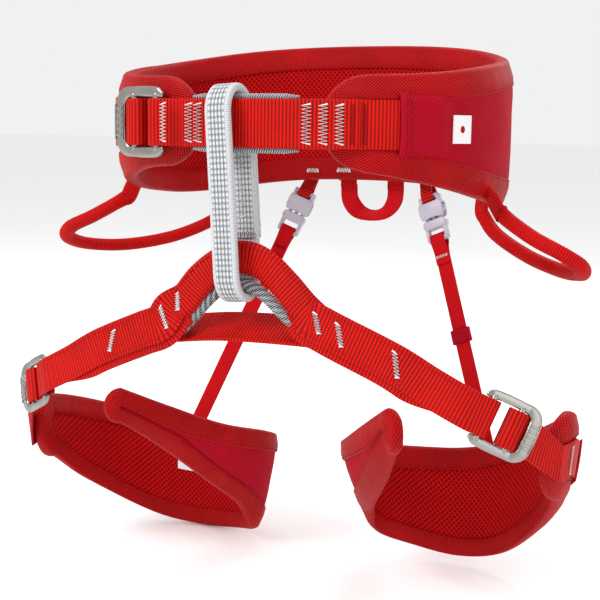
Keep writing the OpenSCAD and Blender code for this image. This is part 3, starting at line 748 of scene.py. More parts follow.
def patch_off(t, z):
    """Outer surface of the crimson panel: on the belt's fabric, lifted where it covers the webbing."""
    rest = belt_half(t, z, belt_edge_distance(t, z)) + FABRIC + 0.55
    over = smooth((t - 118) / 9) * (1 - smooth((abs(z - WEB_Z) - WEB_W / 2) / 4.5))
    roll = 1.5 * math.sin(math.pi * min(1.0, max(0.0, (t - 136.6) / 3.4))) ** 0.7
    return lerp(rest, max(rest, WEB_O + WEB_T + 0.9), over) + roll


def tunnel_row(t):
    lo = min(belt_bottom(t) + BIND_W - 1.5, -18.5)
    hi = max(belt_top(t) - BIND_W + 1.5, 15)
    zs = np.linspace(lo, hi, 22)
    return [belt_point(t, z, patch_off(t, z)) for z in zs] + [belt_point(t, z, patch_off(t, z) - 0.6) for z in zs[::-1]]


def tie_in_lift(t):
    """Offset of the tie-in webbing, which stands clear of the belt between its two sewn ends."""
    return WEB_O + WEB_T * 1.5 + 0.25 + 2.4 * math.sin(math.pi * min(1.0, max(0.0, (t - 151) / 44))) ** 2


def tie_in_path():
    """Middle line of the outer webbing: sewn end, tie-in, over the first bar of the buckle and back under."""
    r = BAR_R + 0.4 + WEB_T / 2
    arc = [WAIST_BUCKLE((BAR1 + 1.4 * r * math.sin(math.radians(a)), 0, r * math.cos(math.radians(a)))) for a in range(-6, 181, 12)]
    back = [WAIST_BUCKLE((BAR1 - k, 0, -r)) for k in (2, 4, 6)]
    return [belt_point(t, WEB_Z, tie_in_lift(t)) for t in np.arange(151, 195.1, 1.0)] + arc + back


def guard_roll(z):
    """Braided edge roll of the tie-in protector, tapered at its ends."""
    rows = []
    for t in np.arange(167, 192.2, 0.2):
        u = (t - 167) / 25
        r = 1.75 * min(1.0, 0.45 + 4 * min(u, 1 - u))
        rows.append([belt_point(t, z + r * math.sin(q), WEB_O + 0.9 + r * math.cos(q)) for q in np.arange(0, 6.28, 0.45)])
    return loft_data(rows)


def make_belt():
    body = "waist_belt"
    piece("waist_core", belt_core(), FOAM_GREY, body, ["waist_foam_core"])
    piece("waist_outer", belt_shell(1, 0.0, FABRIC), CRIMSON, body, ["waist_outer_fabric"])
    piece("waist_lining", belt_shell(-1, 0.0, FABRIC), LINING, body, ["waist_mesh_lining"])
    rim = belt_rim()
    width = lambda q: BIND_W
    piece("waist_binding", bound_edge(rim, belt_at, belt_half_at, width, 1.0), BINDING, body, ["waist_edge_binding"])
    seams = seam_on(rim, belt_at, belt_half_at, width, 0.9, 1) + seam_on(rim, belt_at, belt_half_at, width, 0.9, -1)
    piece("waist_binding_stitches", stitches(seams, 0.26), RED_THREAD, body)

    base = [belt_point(t, WEB_Z, WEB_O + WEB_T / 2) for t in np.arange(128, 198.6, 1.5)]
    piece("waist_webbing_band", ribbed(base, vec(0, 0, 1)), WEBBING, body, ["waist_webbing"])
    piece("tie_in_band", ribbed(tie_in_path(), vec(0, 0, 1)), WEBBING, body, ["tie_in_webbing"])
    rolls = [guard_roll(WEB_Z + k * (WEB_W / 2 + 0.9)) for k in (1, -1)]
    sheet = strap_on_belt(168.5, 191, WEB_Z, flat_profile(WEB_W + 1.5, 0.7), WEB_O - 0.6)
    piece("tie_in_guard", join_data(rolls + [loft_data(sheet)]), BRAID, body, ["tie_in_protector"])

    tunnel = [tunnel_row(t) for t in np.arange(78, 139.8, 0.75)]
    piece("webbing_tunnel", loft_data(tunnel), CRIMSON, body, ["webbing_tunnel_patch"])
    mouth = even([belt_point(137.4, z, patch_off(137.4, z) + 0.35) for z in np.arange(-17.5, 14, 1)], 2.6)
    edges = [(a, lerp(a, b, 0.7), vec(math.sin(math.radians(138)), math.cos(math.radians(138)), 0)) for a, b in zip(mouth, mouth[1:])]
    piece("webbing_tunnel_stitches", stitches(edges, 0.24), RED_THREAD, body)
    label = [[belt_point(t, LABEL_Z + b, patch_off(t, LABEL_Z + b) + 0.4 + a) for a, b in flat_profile(14.6, 0.5)] for t in np.arange(111.9, 120.4, 0.6)]
    piece("belt_blank_label", loft_data(label), LABEL, body, ["belt_label"])
    dot = [[belt_point(116 + r * math.cos(a) / TONGUE_K, LABEL_Z + r * math.sin(a), patch_off(116, LABEL_Z) + 0.72)
            for a in np.arange(0, 6.28, 0.393)] for r in (0.05, 1.2, 1.9)]
    piece("belt_label_dot", loft_data(dot, caps=False), RED_THREAD, body)

    tail = [belt_point(t, WEB_Z, WEB_O + WEB_T / 2) for t in np.arange(219, 250.1, 1.5)]
    piece("waist_tail_band", ribbed(tail, vec(0, 0, 1)), WEBBING, body, ["waist_webbing_tail"])
    keeper = strap_on_belt(237.5, 244.5, WEB_Z, flat_profile(28, 1.0, cup=0.4), WEB_O + WEB_T + 0.6)
    piece("waist_tail_loop", loft_data(keeper), ELASTIC, body, ["waist_tail_keeper"])

    tacks = [zigzag(on_belt_surface(t, WEB_Z, tie_in_lift(t) + WEB_T / 2 + 0.35), 4.2, 20, 11, 0.52) for t in
             (156.6, 160.8, 165.0, 189.6, 192.4)]
    tacks += [zigzag(on_buckle_run, 4.2, 20, 11, 0.52)]
    tacks += [flat_tack(t, belt_bottom(t) + 4.2, side) for t, side in ((-16, -1), (-5, -1), (43, -1), (60, 1), (-100, 1), (66, 1))]
    tacks += [zigzag(on_belt_surface(t, 0, WEB_O + WEB_T + 0.15), 1.8, 18, 10) for t in (233,)]
    piece("waist_zigzag_tacks", join_data(tacks), WHITE, body, ["waist_bar_tacks"])
    red = [zigzag(on_belt_surface(t, WEB_Z, WEB_O + WEB_T + 0.25 + d), 2.2, 20, 14, 0.26) for t, d in ((153.2, 2.0), (149.6, 0))]
    piece("waist_red_tacks", join_data(red), RED_THREAD, body)

    tabs = []
    for s, t, w in ((1, 17.2, 10), (-1, 17.2, 10), (1, -5.9, 8), (1, 7.4, 8)):
        rows = []
        for z in np.linspace(-38.5, -24, 9):
            rows.append([belt_point(s * t + b / 2.05, z, WEB_O + 0.75 + a) for a, b in flat_profile(w, 1.3)])
        tabs.append(loft_data(rows))
    piece("rear_tabs", join_data(tabs), WEBBING, body, ["rear_anchor_tabs"])
    rear = [zigzag(on_belt_surface(s * t, -28.5, WEB_O + 1.5), w, 4, 5) for s, t, w in ((1, 17.2, 7), (-1, 17.2, 7), (1, -5.9, 5), (1, 7.4, 5))]
    piece("rear_tab_tacks", join_data(rear), WHITE, body)


# ---------------------------------------------------------------- buckles
class Place:
    """Local axes of a buckle: u along the webbing, v across it, n outwards."""

    def __init__(self, o, u, v, n, k=1.0):
        self.o, self.u, self.v, self.n, self.k = o, u, v, n, k

    def __call__(self, p):
        return self.o + self.k * (p[0] * self.u + p[1] * self.v + p[2] * self.n)


def waist_place():
    o = belt_point(209, WEB_Z, WEB_O + WEB_T + BAR_R + 1.2)
    u = unit(belt_point(212, 0, 0) - belt_point(206, 0, 0))
    v = vec(0, 0, -1)
    return Place(o, u, v, np.cross(u, v))


def side_vec(s, p):
    return vec(s * p[0], p[1], p[2])


WEB_UP = vec(0.25, 0.1, 1)
BUCKLE_C = vec(139, -82.5, -151)
BUCKLE_U = unit(vec(0.80, 0.40, -0.42))
BUCKLE_UP = vec(0.18, 0.25, 1)


def leg_place(s):
    u = side_vec(s, BUCKLE_U)
    n = unit(np.cross(u, side_vec(s, BUCKLE_UP)))
    n = n if n[0] * s > 0 else -n
    o = side_vec(s, BUCKLE_C) + vec(0, 0, s * LEG_DZ)
    return Place(o, u, np.cross(n, u), n, LEG_K)


WAIST_BUCKLE = waist_place()


def buckle_fold(place):
    """Webbing that rises between the bars, passes over the middle bar and dives under the lip."""
    r = BAR_R + 0.4 + WEB_T / 2
    arc = [(BAR2 - 0.6 + 1.75 * r * math.sin(math.radians(a)), r * math.cos(math.radians(a))) for a in range(-106, 107, 12)]
    pts = [(BAR2 - 6.5, -3.4)] + arc + [(BAR2 + 6.5, -3.0), (BAR2 + 9.5, -3.4)]
    smoothed = curve([vec(x, 0, z) for x, z in pts], len(pts) * 3)
    return ribbed([place(p) for p in smoothed], place.v, WEB_W * place.k, WEB_T * place.k)


def frame_data(place):
    """Rails and curved lip of the buckle as one bent bar of changing width."""
    half_h = BUCKLE_H / 2 - 2.7
    x0, x1 = -BUCKLE_L / 2 + 1.5, BUCKLE_L / 2 - 4.2
    r = 7.0
    pts = [vec(x0 + 3.6, 14.4, 0), vec(x0 + 5.2, half_h - 1.3, 0), vec(x0 + 10, half_h, 0.2),
           vec((x0 + x1) / 2 + 2, half_h + 0.4, 0.5), vec(x1 - r, half_h, 0.2)]
    pts += [vec(x1 - r + r * math.sin(a), half_h - r + r * math.cos(a), 0.2 + 1.1 * math.sin(a)) for a in np.linspace(0.2, math.pi / 2, 6)]
    pts += [vec(x1 + 0.3, 0, 1.6)]
    pts += [vec(p[0], -p[1], p[2]) for p in reversed(pts[:-1])]
    path = even(curve(pts, 120), 0.9)
    total = len(path) - 1
    rows = []
    for i, (p, s, w) in enumerate(frames(path, vec(0, 0, 1))):
        u = i / total
        lip = smooth((0.5 - abs(u - 0.5)) / 0.5 * 2.4 - 1.15)
        end = 0.5 + 0.5 * smooth(min(u, 1 - u) * 22)
        half_w = (2.9 + 1.3 * lip) * end
        half_t = (1.35 + 0.1 * lip) * end
        n = 16
        row = []
        for k in range(n):
            a = 2 * math.pi * k / n
            x = half_w * spow(math.cos(a), 0.6)
            z = half_t * spow(math.sin(a), 0.6)
            row.append(place(p + s * x + w * z))
        rows.append(row)
    return loft_data(rows)


def grip_data(place):
    """Raised grips and border on the lip."""
    parts = []
    cx = BUCKLE_L / 2 - 4.0
    for i in range(-2, 3):
        y = i * 3.6
        parts.append(rounded_box((cx - 2.6, y - 0.9, 2.7), (cx + 2.4, y + 0.9, 3.6), 0.35, place))
    for x in (cx - 3.5, cx + 3.2):
        parts.append(rounded_box((x - 0.35, -9.6, 2.4), (x + 0.35, 9.6, 3.3), 0.25, place))
    return join_data(parts)


def bars_data(place):
    parts = []
    for x in (BAR1, BAR2):
        path = [place((x, y, 0)) for y in np.linspace(-15.5, 15.5, 25)]
        prof = round_profile(BAR_R * place.k, 20)
        parts.append(sweep(path, prof, place.n))
    return join_data(parts)


def make_buckle(label, place, body, nodes):
    piece(f"{label}_frame", join_data([frame_data(place), grip_data(place)]), METAL, body, [nodes[0]])
    piece(f"{label}_bars", bars_data(place), METAL, body, [nodes[1]])
    piece(f"{label}_fold", buckle_fold(place), WEBBING, body, [nodes[2]])


# ---------------------------------------------------------------- belay loop
BELAY_C = vec(-5.2, -92.5, -38.1)
BELAY_TILT = math.radians(3.6)


def belay_tilt(p):
    c, s = math.cos(BELAY_TILT), math.sin(BELAY_TILT)
    return BELAY_C + vec(p[0] * c - p[2] * s, p[1], p[0] * s + p[2] * c)


def belay_path(h, d, n=150):
    out = []
    for i in range(n):
        a = 2 * math.pi * (i + 0.5) / n
        out.append(vec(0, d / 2 * math.cos(a), math.copysign((h - d) / 2, math.sin(a)) + d / 2 * math.sin(a)))
    return even(out, 1.6, closed=True)


def belay_strand(h, d, t, w, groove=0.0):
    """Closed band; groove pinches the middle of its thickness so that two sewn layers show."""
    prof = flat_profile(w, t, side=11, edge=0.12)
    rows = []
    path = belay_path(h, d)
    for p, s, q in frames(path, vec(1, 0, 0), closed=True):
        row = []
        for a, b in prof:
            pinch = groove * max(0.0, 1 - abs(a) / 0.8) if abs(b) > w / 2 - t / 2 else 0.0
            b2 = b - math.copysign(pinch, b)
            row.append(belay_tilt(p + s * a + q * b2))
        rows.append(row)
    return loft_data(rows, loop=True)


def belay_patch(z0, z1, w, y, t=1.5, inside=False):
    side = -1 if inside else 1
    path = [belay_tilt(vec(0, y, z)) for z in np.linspace(z0, z1, 30)]
    return sweep(path, flat_profile(w, t), vec(1, 0, 0) * side)


def make_belay_loop():
    body = "belay_loop"
    d = BELAY_D - BELAY_T
    piece("belay_loop_band", belay_strand(BELAY_H - BELAY_T, d, BELAY_T, BELAY_W, 0.5), LADDER, body, ["belay_loop_webbing"])
    out_y = BELAY_D / 2 + 0.75
    in_y = BELAY_D / 2 - BELAY_T - 0.5
    lap = join_data([belay_patch(-24, 30, BELAY_W - 0.6, out_y), belay_patch(-24, 34, BELAY_W - 0.6, in_y, 1.1, True)])
    piece("belay_loop_lap", lap, LADDER, body, ["belay_loop_overlap"])

    def face(z, y, nrm):
        def at(x, q):
            return belay_tilt(vec(x, y, z + q)), vec(0, nrm, 0)
        return at

    def bar(z, y, nrm):
        def at(x, q):
            return belay_tilt(vec(q, y, z + x)), vec(0, nrm, 0)
        return at

    rows = [zigzag(face(6, out_y + 0.95, 1), 3.4, 30, 16), zigzag(bar(-17, out_y + 0.95, 1), 2.6, 14, 11)]
    rows += [zigzag(face(6, in_y - 0.75, -1), 3.4, 38, 20), zigzag(bar(-21, in_y - 0.75, -1), 2.6, 15, 12)]
    piece("belay_loop_zigzag", join_data(rows), WHITE, body, ["belay_loop_tacks"])


# ---------------------------------------------------------------- leg tie-in
def pillow_profile(w, t, crown, n=11):
    """Two webbing layers sewn at their edges: thin selvedges and a crowned middle."""
    out = []
    for side in (1, -1):
        for i in range(n):
            x = lerp(-w / 2, w / 2, i / (n - 1)) * side
            k = 1 - abs(2 * x / w) ** 3
            out.append((side * (t / 2 * (0.35 + 0.65 * smooth(k * 6)) + crown * k), x))
    return out


ARCH = [(-46, -95, -107), (-34, -95, -98), (-22, -95, -84), (-8, -95, -74), (3, -95, -71.5),
        (14, -95, -75), (26, -95, -85), (36, -95, -95), (46, -95, -103)]
SLEEVE_LINE = [(-37, -90, -111.2), (-30, -90, -104), (-22, -90, -95), (-13.5, -90, -87.8), (-4, -90, -85.2),
               (6, -90, -85.6), (13, -90, -89.2), (21, -90, -96), (29, -90, -102.3), (35, -90, -106)]
BRIDGE = [(-40, -84, -113), (-14, -84, -110), (14, -84, -109), (40, -84, -109)]
ARCH_EXIT = [vec(32.5, -95.2, -93.6), vec(40, -97.6, -100)]
LEG_LINE = [(46, -99.0, -105), (58, -99, -110), (86, -97, -122), (106, -95.3, -133)]


def leg_point(s, p):
    return vec(s * p[0], p[1], p[2] + s * LEG_DZ)


def arch_rows(profile, dy=0.0, step=0.8):
    path = even(curve(ARCH, 90), step)
    rows = []
    for i, p in enumerate(path):
        t = unit(path[min(len(path) - 1, i + 1)] - path[max(0, i - 1)])
        w = unit(np.cross(vec(0, 1, 0), t))
        w = w if w[2] > 0 else -w
        rows.append([p + vec(0, dy - a, 0) + w * b for a, b in profile])
    return rows


def arch_band(step=0.42):
    profile = [(a, b + 1.0) for a, b in pillow_profile(17, 2.6, 0.75)]
    rows = arch_rows(profile, step=step)
    for i, row in enumerate(rows):
        for k, (a, b) in enumerate(profile):
            row[k] = row[k] + vec(0, a - rib(a, b, i * step, 17), 0)
    return loft_data(rows)


def arch_surface(x, off):
    """Point on the arch's front face nearest to x, its tangent and its width direction."""
    path = curve(ARCH, 200)
    i = min(range(len(path)), key=lambda k: abs(path[k][0] - x))
    t = unit(path[min(200, i + 1)] - path[max(0, i - 1)])
    w = unit(np.cross(vec(0, 1, 0), t))
    return path[i] + vec(0, -off, 0), t, w if w[2] > 0 else -w


def ribbed_tube(path, r, pitch, depth, step=0.24, sides=14):
    """Cord sleeve whose surface runs in fine helical ribs."""
    pts = even(path, step)
    rows = []
    for i, (p, a, b) in enumerate(frames(pts, vec(0, -1, 0))):
        row = []
        for k in range(sides):
            q = 2 * math.pi * k / sides
            rr = r * (1 + depth * math.cos(2 * math.pi * i * step / pitch + q))
            row.append(p + rr * (math.cos(q) * a + math.sin(q) * b))
        rows.append(row)
    return loft_data(rows)


def make_tie_in():
    body = "leg_unit"
    piece("arch_band", arch_band(), WEBBING, body, ["leg_tie_in_arch"])
    seams = []
    for b in (-7.4, 7.4):
        line = [arch_surface(x, 2.15)[0] + arch_surface(x, 0)[2] * b for x in np.arange(-44, 44, 2.9)]
        seams += [(p, lerp(p, q, 0.72), vec(0, -1, 0)) for p, q in zip(line, line[1:])]
    piece("arch_stitches", stitches(seams, 0.26), RED_THREAD, body)
    piece("sleeve_tube", ribbed_tube(curve([vec(*q) + vec(0, -1.2, -1.6) for q in SLEEVE_LINE], 120), 3.2, 1.5, 0.09), BRAID, body, ["tie_in_sleeve"])
    bridge = ribbed(curve(BRIDGE, 60), vec(0, 0.88, 0.47))
    piece("bridge_band", bridge, WEBBING, body, ["bridge_strap"])


# ---------------------------------------------------------------- leg straps
def leg_strap_path(s):
    """Leg webbing from the tie-in, round the first bar of its buckle and back underneath."""
    place = LEG_BUCKLES[s]
    r = BAR_R + 0.4 + WEB_T / 2
    flip = 1 if np.dot(place.v, WEB_UP) > 0 else -1
    along = [side_vec(s, p) for p in ARCH_EXIT] + [leg_point(s, p) for p in LEG_LINE] + [place((-26, 0, r + 0.2)), place((BAR1 - 2, 0, r))]
    first = even(curve(along, 90), 1.2)
    arc = [place((BAR1 + 1.4 * r * math.sin(math.radians(a)), 0, r * math.cos(math.radians(a)))) for a in range(8, 181, 12)]
    back = [place((BAR1 - k, 0, -r)) for k in (1.5, 3, 4.5, 6, 7.5)]
    ups = [lerp(unit(side_vec(s, WEB_UP)), place.v * flip, smooth((i / len(first) - 0.45) * 2)) for i in range(len(first))]
    return first + arc + back, ups + [place.v * flip] * (len(arc) + len(back)), len(first)


def leg_face(s, i, off):
    path, ups, _ = LEG_PATHS[s]
    t = unit(path[i + 1] - path[i - 1])
    up = unit(ups[i] - t * np.dot(ups[i], t))
    n = np.cross(up, t)
    n = n if n[1] < 0 else -n
    return path[i] + n * off, t, up, n


def leg_index(s, reach):
    """Step of the leg webbing that lies reach millimetres from its start."""
    path = LEG_PATHS[s][0]
    along = np.cumsum([np.linalg.norm(b - a) for a, b in zip(path, path[1:])])
    return int(np.searchsorted(along, reach)) + 1


def make_leg_straps():
    body = "leg_unit"
    tacks, strands, seams = [], [], []
    for s, side in ((1, "left"), (-1, "right")):
        path, ups, n_front = LEG_PATHS[s]
        piece(f"leg_strap_{side}", ribbed(path, ups, LEG_W, LEG_T, taper=14), WEBBING, body, [f"leg_webbing_{side}"])
        faces = [leg_face(s, i, -1.75) for i in range(4, n_front - 14, 2)]
        last = len(faces) - 1
        strand = [p - up * lerp(10.4, 5.5, smooth((k / last - 0.72) / 0.28)) for k, (p, _, up, _) in enumerate(faces)]
        strands.append(ribbed(strand, [up for _, _, up, _ in faces], 7.2, 1.6))
        for reach, high in LEG_TACKS[s]:
            p0, t, up, nrm = leg_face(s, leg_index(s, reach), LEG_T / 2 + 0.35)
            tacks.append(zigzag(lambda a, q, p0=p0, t=t, up=up, nrm=nrm: (p0 + t * (a - 0.7 * q) + up * q, nrm), 2.6, high, 8, 0.55))
        for b in (-7.6, 7.6):
            line = [leg_face(s, i, LEG_T / 2 + 0.2) for i in range(2, n_front - 8, 3)]
            line = [p + up * b for p, _, up, _ in line]
            seams += [(p, lerp(p, q, 0.7), vec(0, -1, 0)) for p, q in zip(line, line[1:])]
    piece("leg_lower_strands", join_data(strands), WEBBING, body, ["lower_strands"])
    piece("leg_zigzag_tacks", join_data(tacks), WHITE, body, ["leg_bar_tacks"])
    piece("leg_strap_stitches", stitches(seams, 0.24), RED_THREAD, body)


LEG_TACKS = {1: ((16, 9), (29, 10), (62, 11)), -1: ((4, 8), (16, 10), (53, 10))}
LEG_BUCKLES = {1: leg_place(1), -1: leg_place(-1)}
LEG_PATHS = {s: leg_strap_path(s) for s in (1, -1)}

# ---------------------------------------------------------------- leg pads
LEG_PLAN = [vec(*p) for p in ((88, -92), (64, -66), (42, -36), (28, -6), (33, 16), (56, 31), (88, 35), (119, 28),
                              (144, 10), (159, -16), (163, -40), (158, -60))]
LEG_TOP = {1: [-141, -160, -178, -190, -196, -199, -197, -187, -170, -157, -149, -145],
           -1: [-148, -164, -180, -190, -198, -204, -206, -202, -190, -180, -174, -171]}
LEG_BOT = {1: [-157, -189, -214, -230, -244, -255, -260, -251, -228, -206, -193, -188],
           -1: [-162, -187, -216, -240, -255, -263, -267, -262, -247, -228, -210, -202]}
LEG_LEAN = [0, 8, 12, 14, 10, 5, 3, 4, 5, 5, 4, 3]
U_FRONT, U_END = 0.32, 10.0
K_FRONT, K_END = 37.0, 22.0
LEG_FOAM = 3.0
LEG_BIND = 10.5


def leg_top(s, u):
    return catmull(LEG_TOP[s], u)


def leg_bottom(s, u):
    return catmull(LEG_BOT[s], u)


def leg_mid(s, u):
    return (leg_top(s, u) + leg_bottom(s, u)) / 2


def leg_normal(u):
    d = unit(catmull(LEG_PLAN, u + 0.1) - catmull(LEG_PLAN, u - 0.1))
    return vec(-d[1], d[0])


def pad_point(s, u, z, off):
    """Point of a leg pad at station u, height z and offset off from its mid surface."""
    f = (leg_top(s, u) - z) / (leg_top(s, u) - leg_bottom(s, u))
    q = catmull(LEG_PLAN, u) + leg_normal(u) * (off - catmull(LEG_LEAN, u) * f)
    return vec(s * q[0], q[1], z)


def end_radius(s, front):
    u = U_FRONT if front else U_END
    return (leg_top(s, u) - leg_bottom(s, u)) / 2


def pad_span(s, u):
    if u < U_FRONT:
        r, x, c = end_radius(s, True), (U_FRONT - u) * K_FRONT, leg_mid(s, U_FRONT)
    elif u > U_END:
        r, x, c = end_radius(s, False), (u - U_END) * K_END, leg_mid(s, U_END)
    else:
        return leg_bottom(s, u), leg_top(s, u)
    h = math.sqrt(max(0.0, r * r - x * x))
    return c - h, c + h


def pad_edge_distance(s, u, z):
    lo, hi = pad_span(s, u)
    d = min(z - lo, hi - z)
    for front, k, u0 in ((True, K_FRONT, U_FRONT), (False, K_END, U_END)):
        x = (u0 - u) * k if front else (u - u0) * k
        if x > 0:
            d = end_radius(s, front) - math.hypot(x, z - leg_mid(s, u0))
    return max(0.0, d)


def pad_half(s, u, z, edge, outside=True):
    """Half thickness of a leg pad: thin at the binding, full in the middle, with small puckers beside the seam."""
    h = 1.9 + 0.9 * smooth(edge / 8) + 1.5 * smooth(edge / 18)
    seed = (13 if outside else 21) + s
    pucker = 0.45 * noise.noise(Vector((u * 3.4, z / 16, seed))) * smooth(edge / 6) * (1 - 0.6 * smooth((edge - 10) / 14))
    slow = 0.5 * noise.noise(Vector((u * 0.9, z / 30, seed + 7))) * smooth(edge / 16)
    return h + pucker + slow


def pad_stations(s):
    rf, ro = end_radius(s, True), end_radius(s, False)
    angles = (12, 24, 36, 48, 60, 70, 78)
    front = [U_FRONT - rf * math.sin(math.radians(a)) / K_FRONT for a in reversed(angles)]
    end = [U_END + ro * math.sin(math.radians(a)) / K_END for a in angles]
    return front + list(np.linspace(U_FRONT, U_END, 120)) + end


def pad_shell(s, side, gap, thick, rows_v=20):
    rows = []
    for u in pad_stations(s):
        lo, hi = pad_span(s, u)
        face, back = [], []
        for j in range(rows_v + 1):
            z = lerp(lo, hi, j / rows_v)
            h = pad_half(s, u, z, pad_edge_distance(s, u, z), side > 0) + gap
            face.append(pad_point(s, u, z, side * (h + thick)))
            back.append(pad_point(s, u, z, side * h))
        rows.append(face + back[::-1])
    return loft_data(rows)


def pad_core(s, rows_v=12):
    rows = []
    for u in pad_stations(s)[::2]:
        lo, hi = pad_span(s, u)
        zs = [lerp(lo, hi, j / rows_v) for j in range(rows_v + 1)]
        out = [pad_point(s, u, z, pad_half(s, u, z, pad_edge_distance(s, u, z)) - 0.1) for z in zs]
        ins = [pad_point(s, u, z, -pad_half(s, u, z, pad_edge_distance(s, u, z), False) + 0.1) for z in zs]
        rows.append(out + ins[::-1])
    return loft_data(rows)


def pad_rim(s):
    """Closed walk round a leg pad: station, height and inward steps in station and height."""
    out = []
    us = np.linspace(U_FRONT, U_END, 190)
    for u in us[:-1]:
        out.append((u, leg_top(s, u), 0.0, 1.0))
    ro, rf = end_radius(s, False), end_radius(s, True)
    turn = [math.radians(a) for a in np.arange(0, 180, 9)]
    out += [(U_END + ro * math.sin(a) / K_END, leg_mid(s, U_END) + ro * math.cos(a), math.sin(a) / K_END, math.cos(a)) for a in turn]
    for u in us[:0:-1]:
        out.append((u, leg_bottom(s, u), 0.0, -1.0))
    out += [(U_FRONT - rf * math.sin(a) / K_FRONT, leg_mid(s, U_FRONT) + rf * math.cos(a), -math.sin(a) / K_FRONT, math.cos(a))
            for a in [math.pi - b for b in turn]]
    return out


def pad_binding_width(s, u):
    lo, hi = pad_span(s, min(U_END, max(U_FRONT, u)))
    return min(LEG_BIND + 5 * (1 - smooth(u / 2.4)), 0.47 * (hi - lo))


def make_leg_pad(s, side):
    body = "leg_unit"

    def at(q, d, off):
        return pad_point(s, q[0] - d * q[2], q[1] - d * q[3], off)

    def half(q, d, outside):
        return pad_half(s, q[0] - d * q[2], q[1] - d * q[3], d, outside)

    def width(q):
        return pad_binding_width(s, q[0])

    piece(f"leg_core_{side}", pad_core(s), FOAM_GREY, body, [f"leg_foam_{side}"])
    piece(f"leg_outer_{side}", pad_shell(s, 1, 0.0, FABRIC), CRIMSON, body, [f"leg_outer_fabric_{side}"])
    piece(f"leg_lining_{side}", pad_shell(s, -1, 0.0, FABRIC), LINING, body, [f"leg_mesh_lining_{side}"])
    rim = pad_rim(s)
    piece(f"leg_binding_{side}", bound_edge(rim, at, half, width, 30.0 + s), BINDING, body, [f"leg_edge_binding_{side}"])
    seams = seam_on(rim, at, half, width, 0.88, 1) + seam_on(rim, at, half, width, 0.88, -1)
    piece(f"leg_binding_stitches_{side}", stitches(seams, 0.26), RED_THREAD, body)


def pad_band(s, u0, u1, profile, off, n, shift=0.0):
    rows = []
    for i in range(n + 1):
        u = lerp(u0, u1, i / n)
        c = leg_mid(s, min(u, U_END)) + shift
        rows.append([pad_point(s, u, c + b, off + a) for a, b in profile])
    return rows


def make_leg_trim():
    body = "leg_unit"
    off = LEG_FOAM + 2 * FABRIC + 1.1
    keepers, tacks = [], []
    web = flat_profile(LEG_W, LEG_T, side=13, edge=0.12)
    for s, side in ((1, "left"), (-1, "right")):
        place = LEG_BUCKLES[s]
        flip = 1 if np.dot(place.v, WEB_UP) > 0 else -1
        rows = pad_band(s, 8.2, 10.75, web, off + LEG_T / 2, 120)
        ends = [np.array(r) for r in rows[-1:]]
        for k in range(1, 49):
            u = k / 48
            row = []
            for j, (a, b) in enumerate(web):
                p0, p1 = ends[0][j], place((20, flip * b / LEG_K, -3.4 + a))
                p2 = place((13, flip * b / LEG_K, -3.4 + a))
                row.append(lerp(lerp(p0, p1, u), lerp(p1, p2, u), u))
            rows.append(row)
        piece(f"leg_tail_band_{side}", loft_data(rows), CRIMSON if s < 0 else WEBBING, body, [f"leg_tail_{side}"])
        keepers.append(loft_data(pad_band(s, 8.85, 9.32, flat_profile(LEG_W + 3.5, 1.0, cup=0.4), off + LEG_T + 0.7, 6)))
        centre = lambda u, z, o, s=s: pad_point(s, u, leg_mid(s, min(u, U_END)) + z, o)
        for u, h in ((8.45, 15), (10.3, 15)):
            def face(x, q, u=u, s=s, centre=centre):
                p = centre(u + x / K_END, q, off + LEG_T + 0.35)
                return p, unit(centre(u, q, off + 3) - centre(u, q, off))
            tacks.append(zigzag(face, 2.0, h, 12))
    piece("leg_tail_keepers", join_data(keepers), ELASTIC, body, ["leg_keepers"])
    piece("leg_tail_tacks", join_data(tacks), WHITE, body)
    inner = -(LEG_FOAM + 2 * FABRIC + 0.95)
    rows = pad_band(-1, 6.0, 6.6, flat_profile(12, 0.5), inner, 8, shift=10)
    piece("leg_care_label", loft_data(rows), LABEL, body, ["care_label"])


# ---------------------------------------------------------------- risers and clips
R_TOP = vec(39, 96.2, -34.5)
R_END = vec(104, 43.5, -210)
R_DIR = unit(R_END - R_TOP)
R_SIDE = unit(np.cross(vec(0, 1, 0.35), R_DIR))
R_OUT = np.cross(R_DIR, R_SIDE)
R_LEN = float(np.linalg.norm(R_END - R_TOP))
CLIP_D = 13.0
TAB_W = 8.6
RISER_W = 10.0


def riser_point(s):
    """Maps (across, along, outwards) of a riser to the frame."""
    def at(p):
        return side_vec(s, R_TOP + R_SIDE * p[0] + R_DIR * p[1] + R_OUT * p[2])
    return at


def riser_clip_point(s):
    at = riser_point(s)
    return lambda p: at((p[0], p[1] + CLIP_D, p[2]))


def riser_tape(s, pts, w, t, step=0.8, closed=False):
    """Tape that follows (along, outwards) points of a riser."""
    at = riser_point(s)
    path = even([at((0, d, n)) for d, n in pts], step, closed)
    return sweep(path, flat_profile(w, t, side=7, edge=0.1), side_vec(s, R_SIDE), closed)


def soft_points(pts, n=8):
    return [(p[1], p[2]) for p in curve([vec(0, d, k) for d, k in pts], len(pts) * n)]


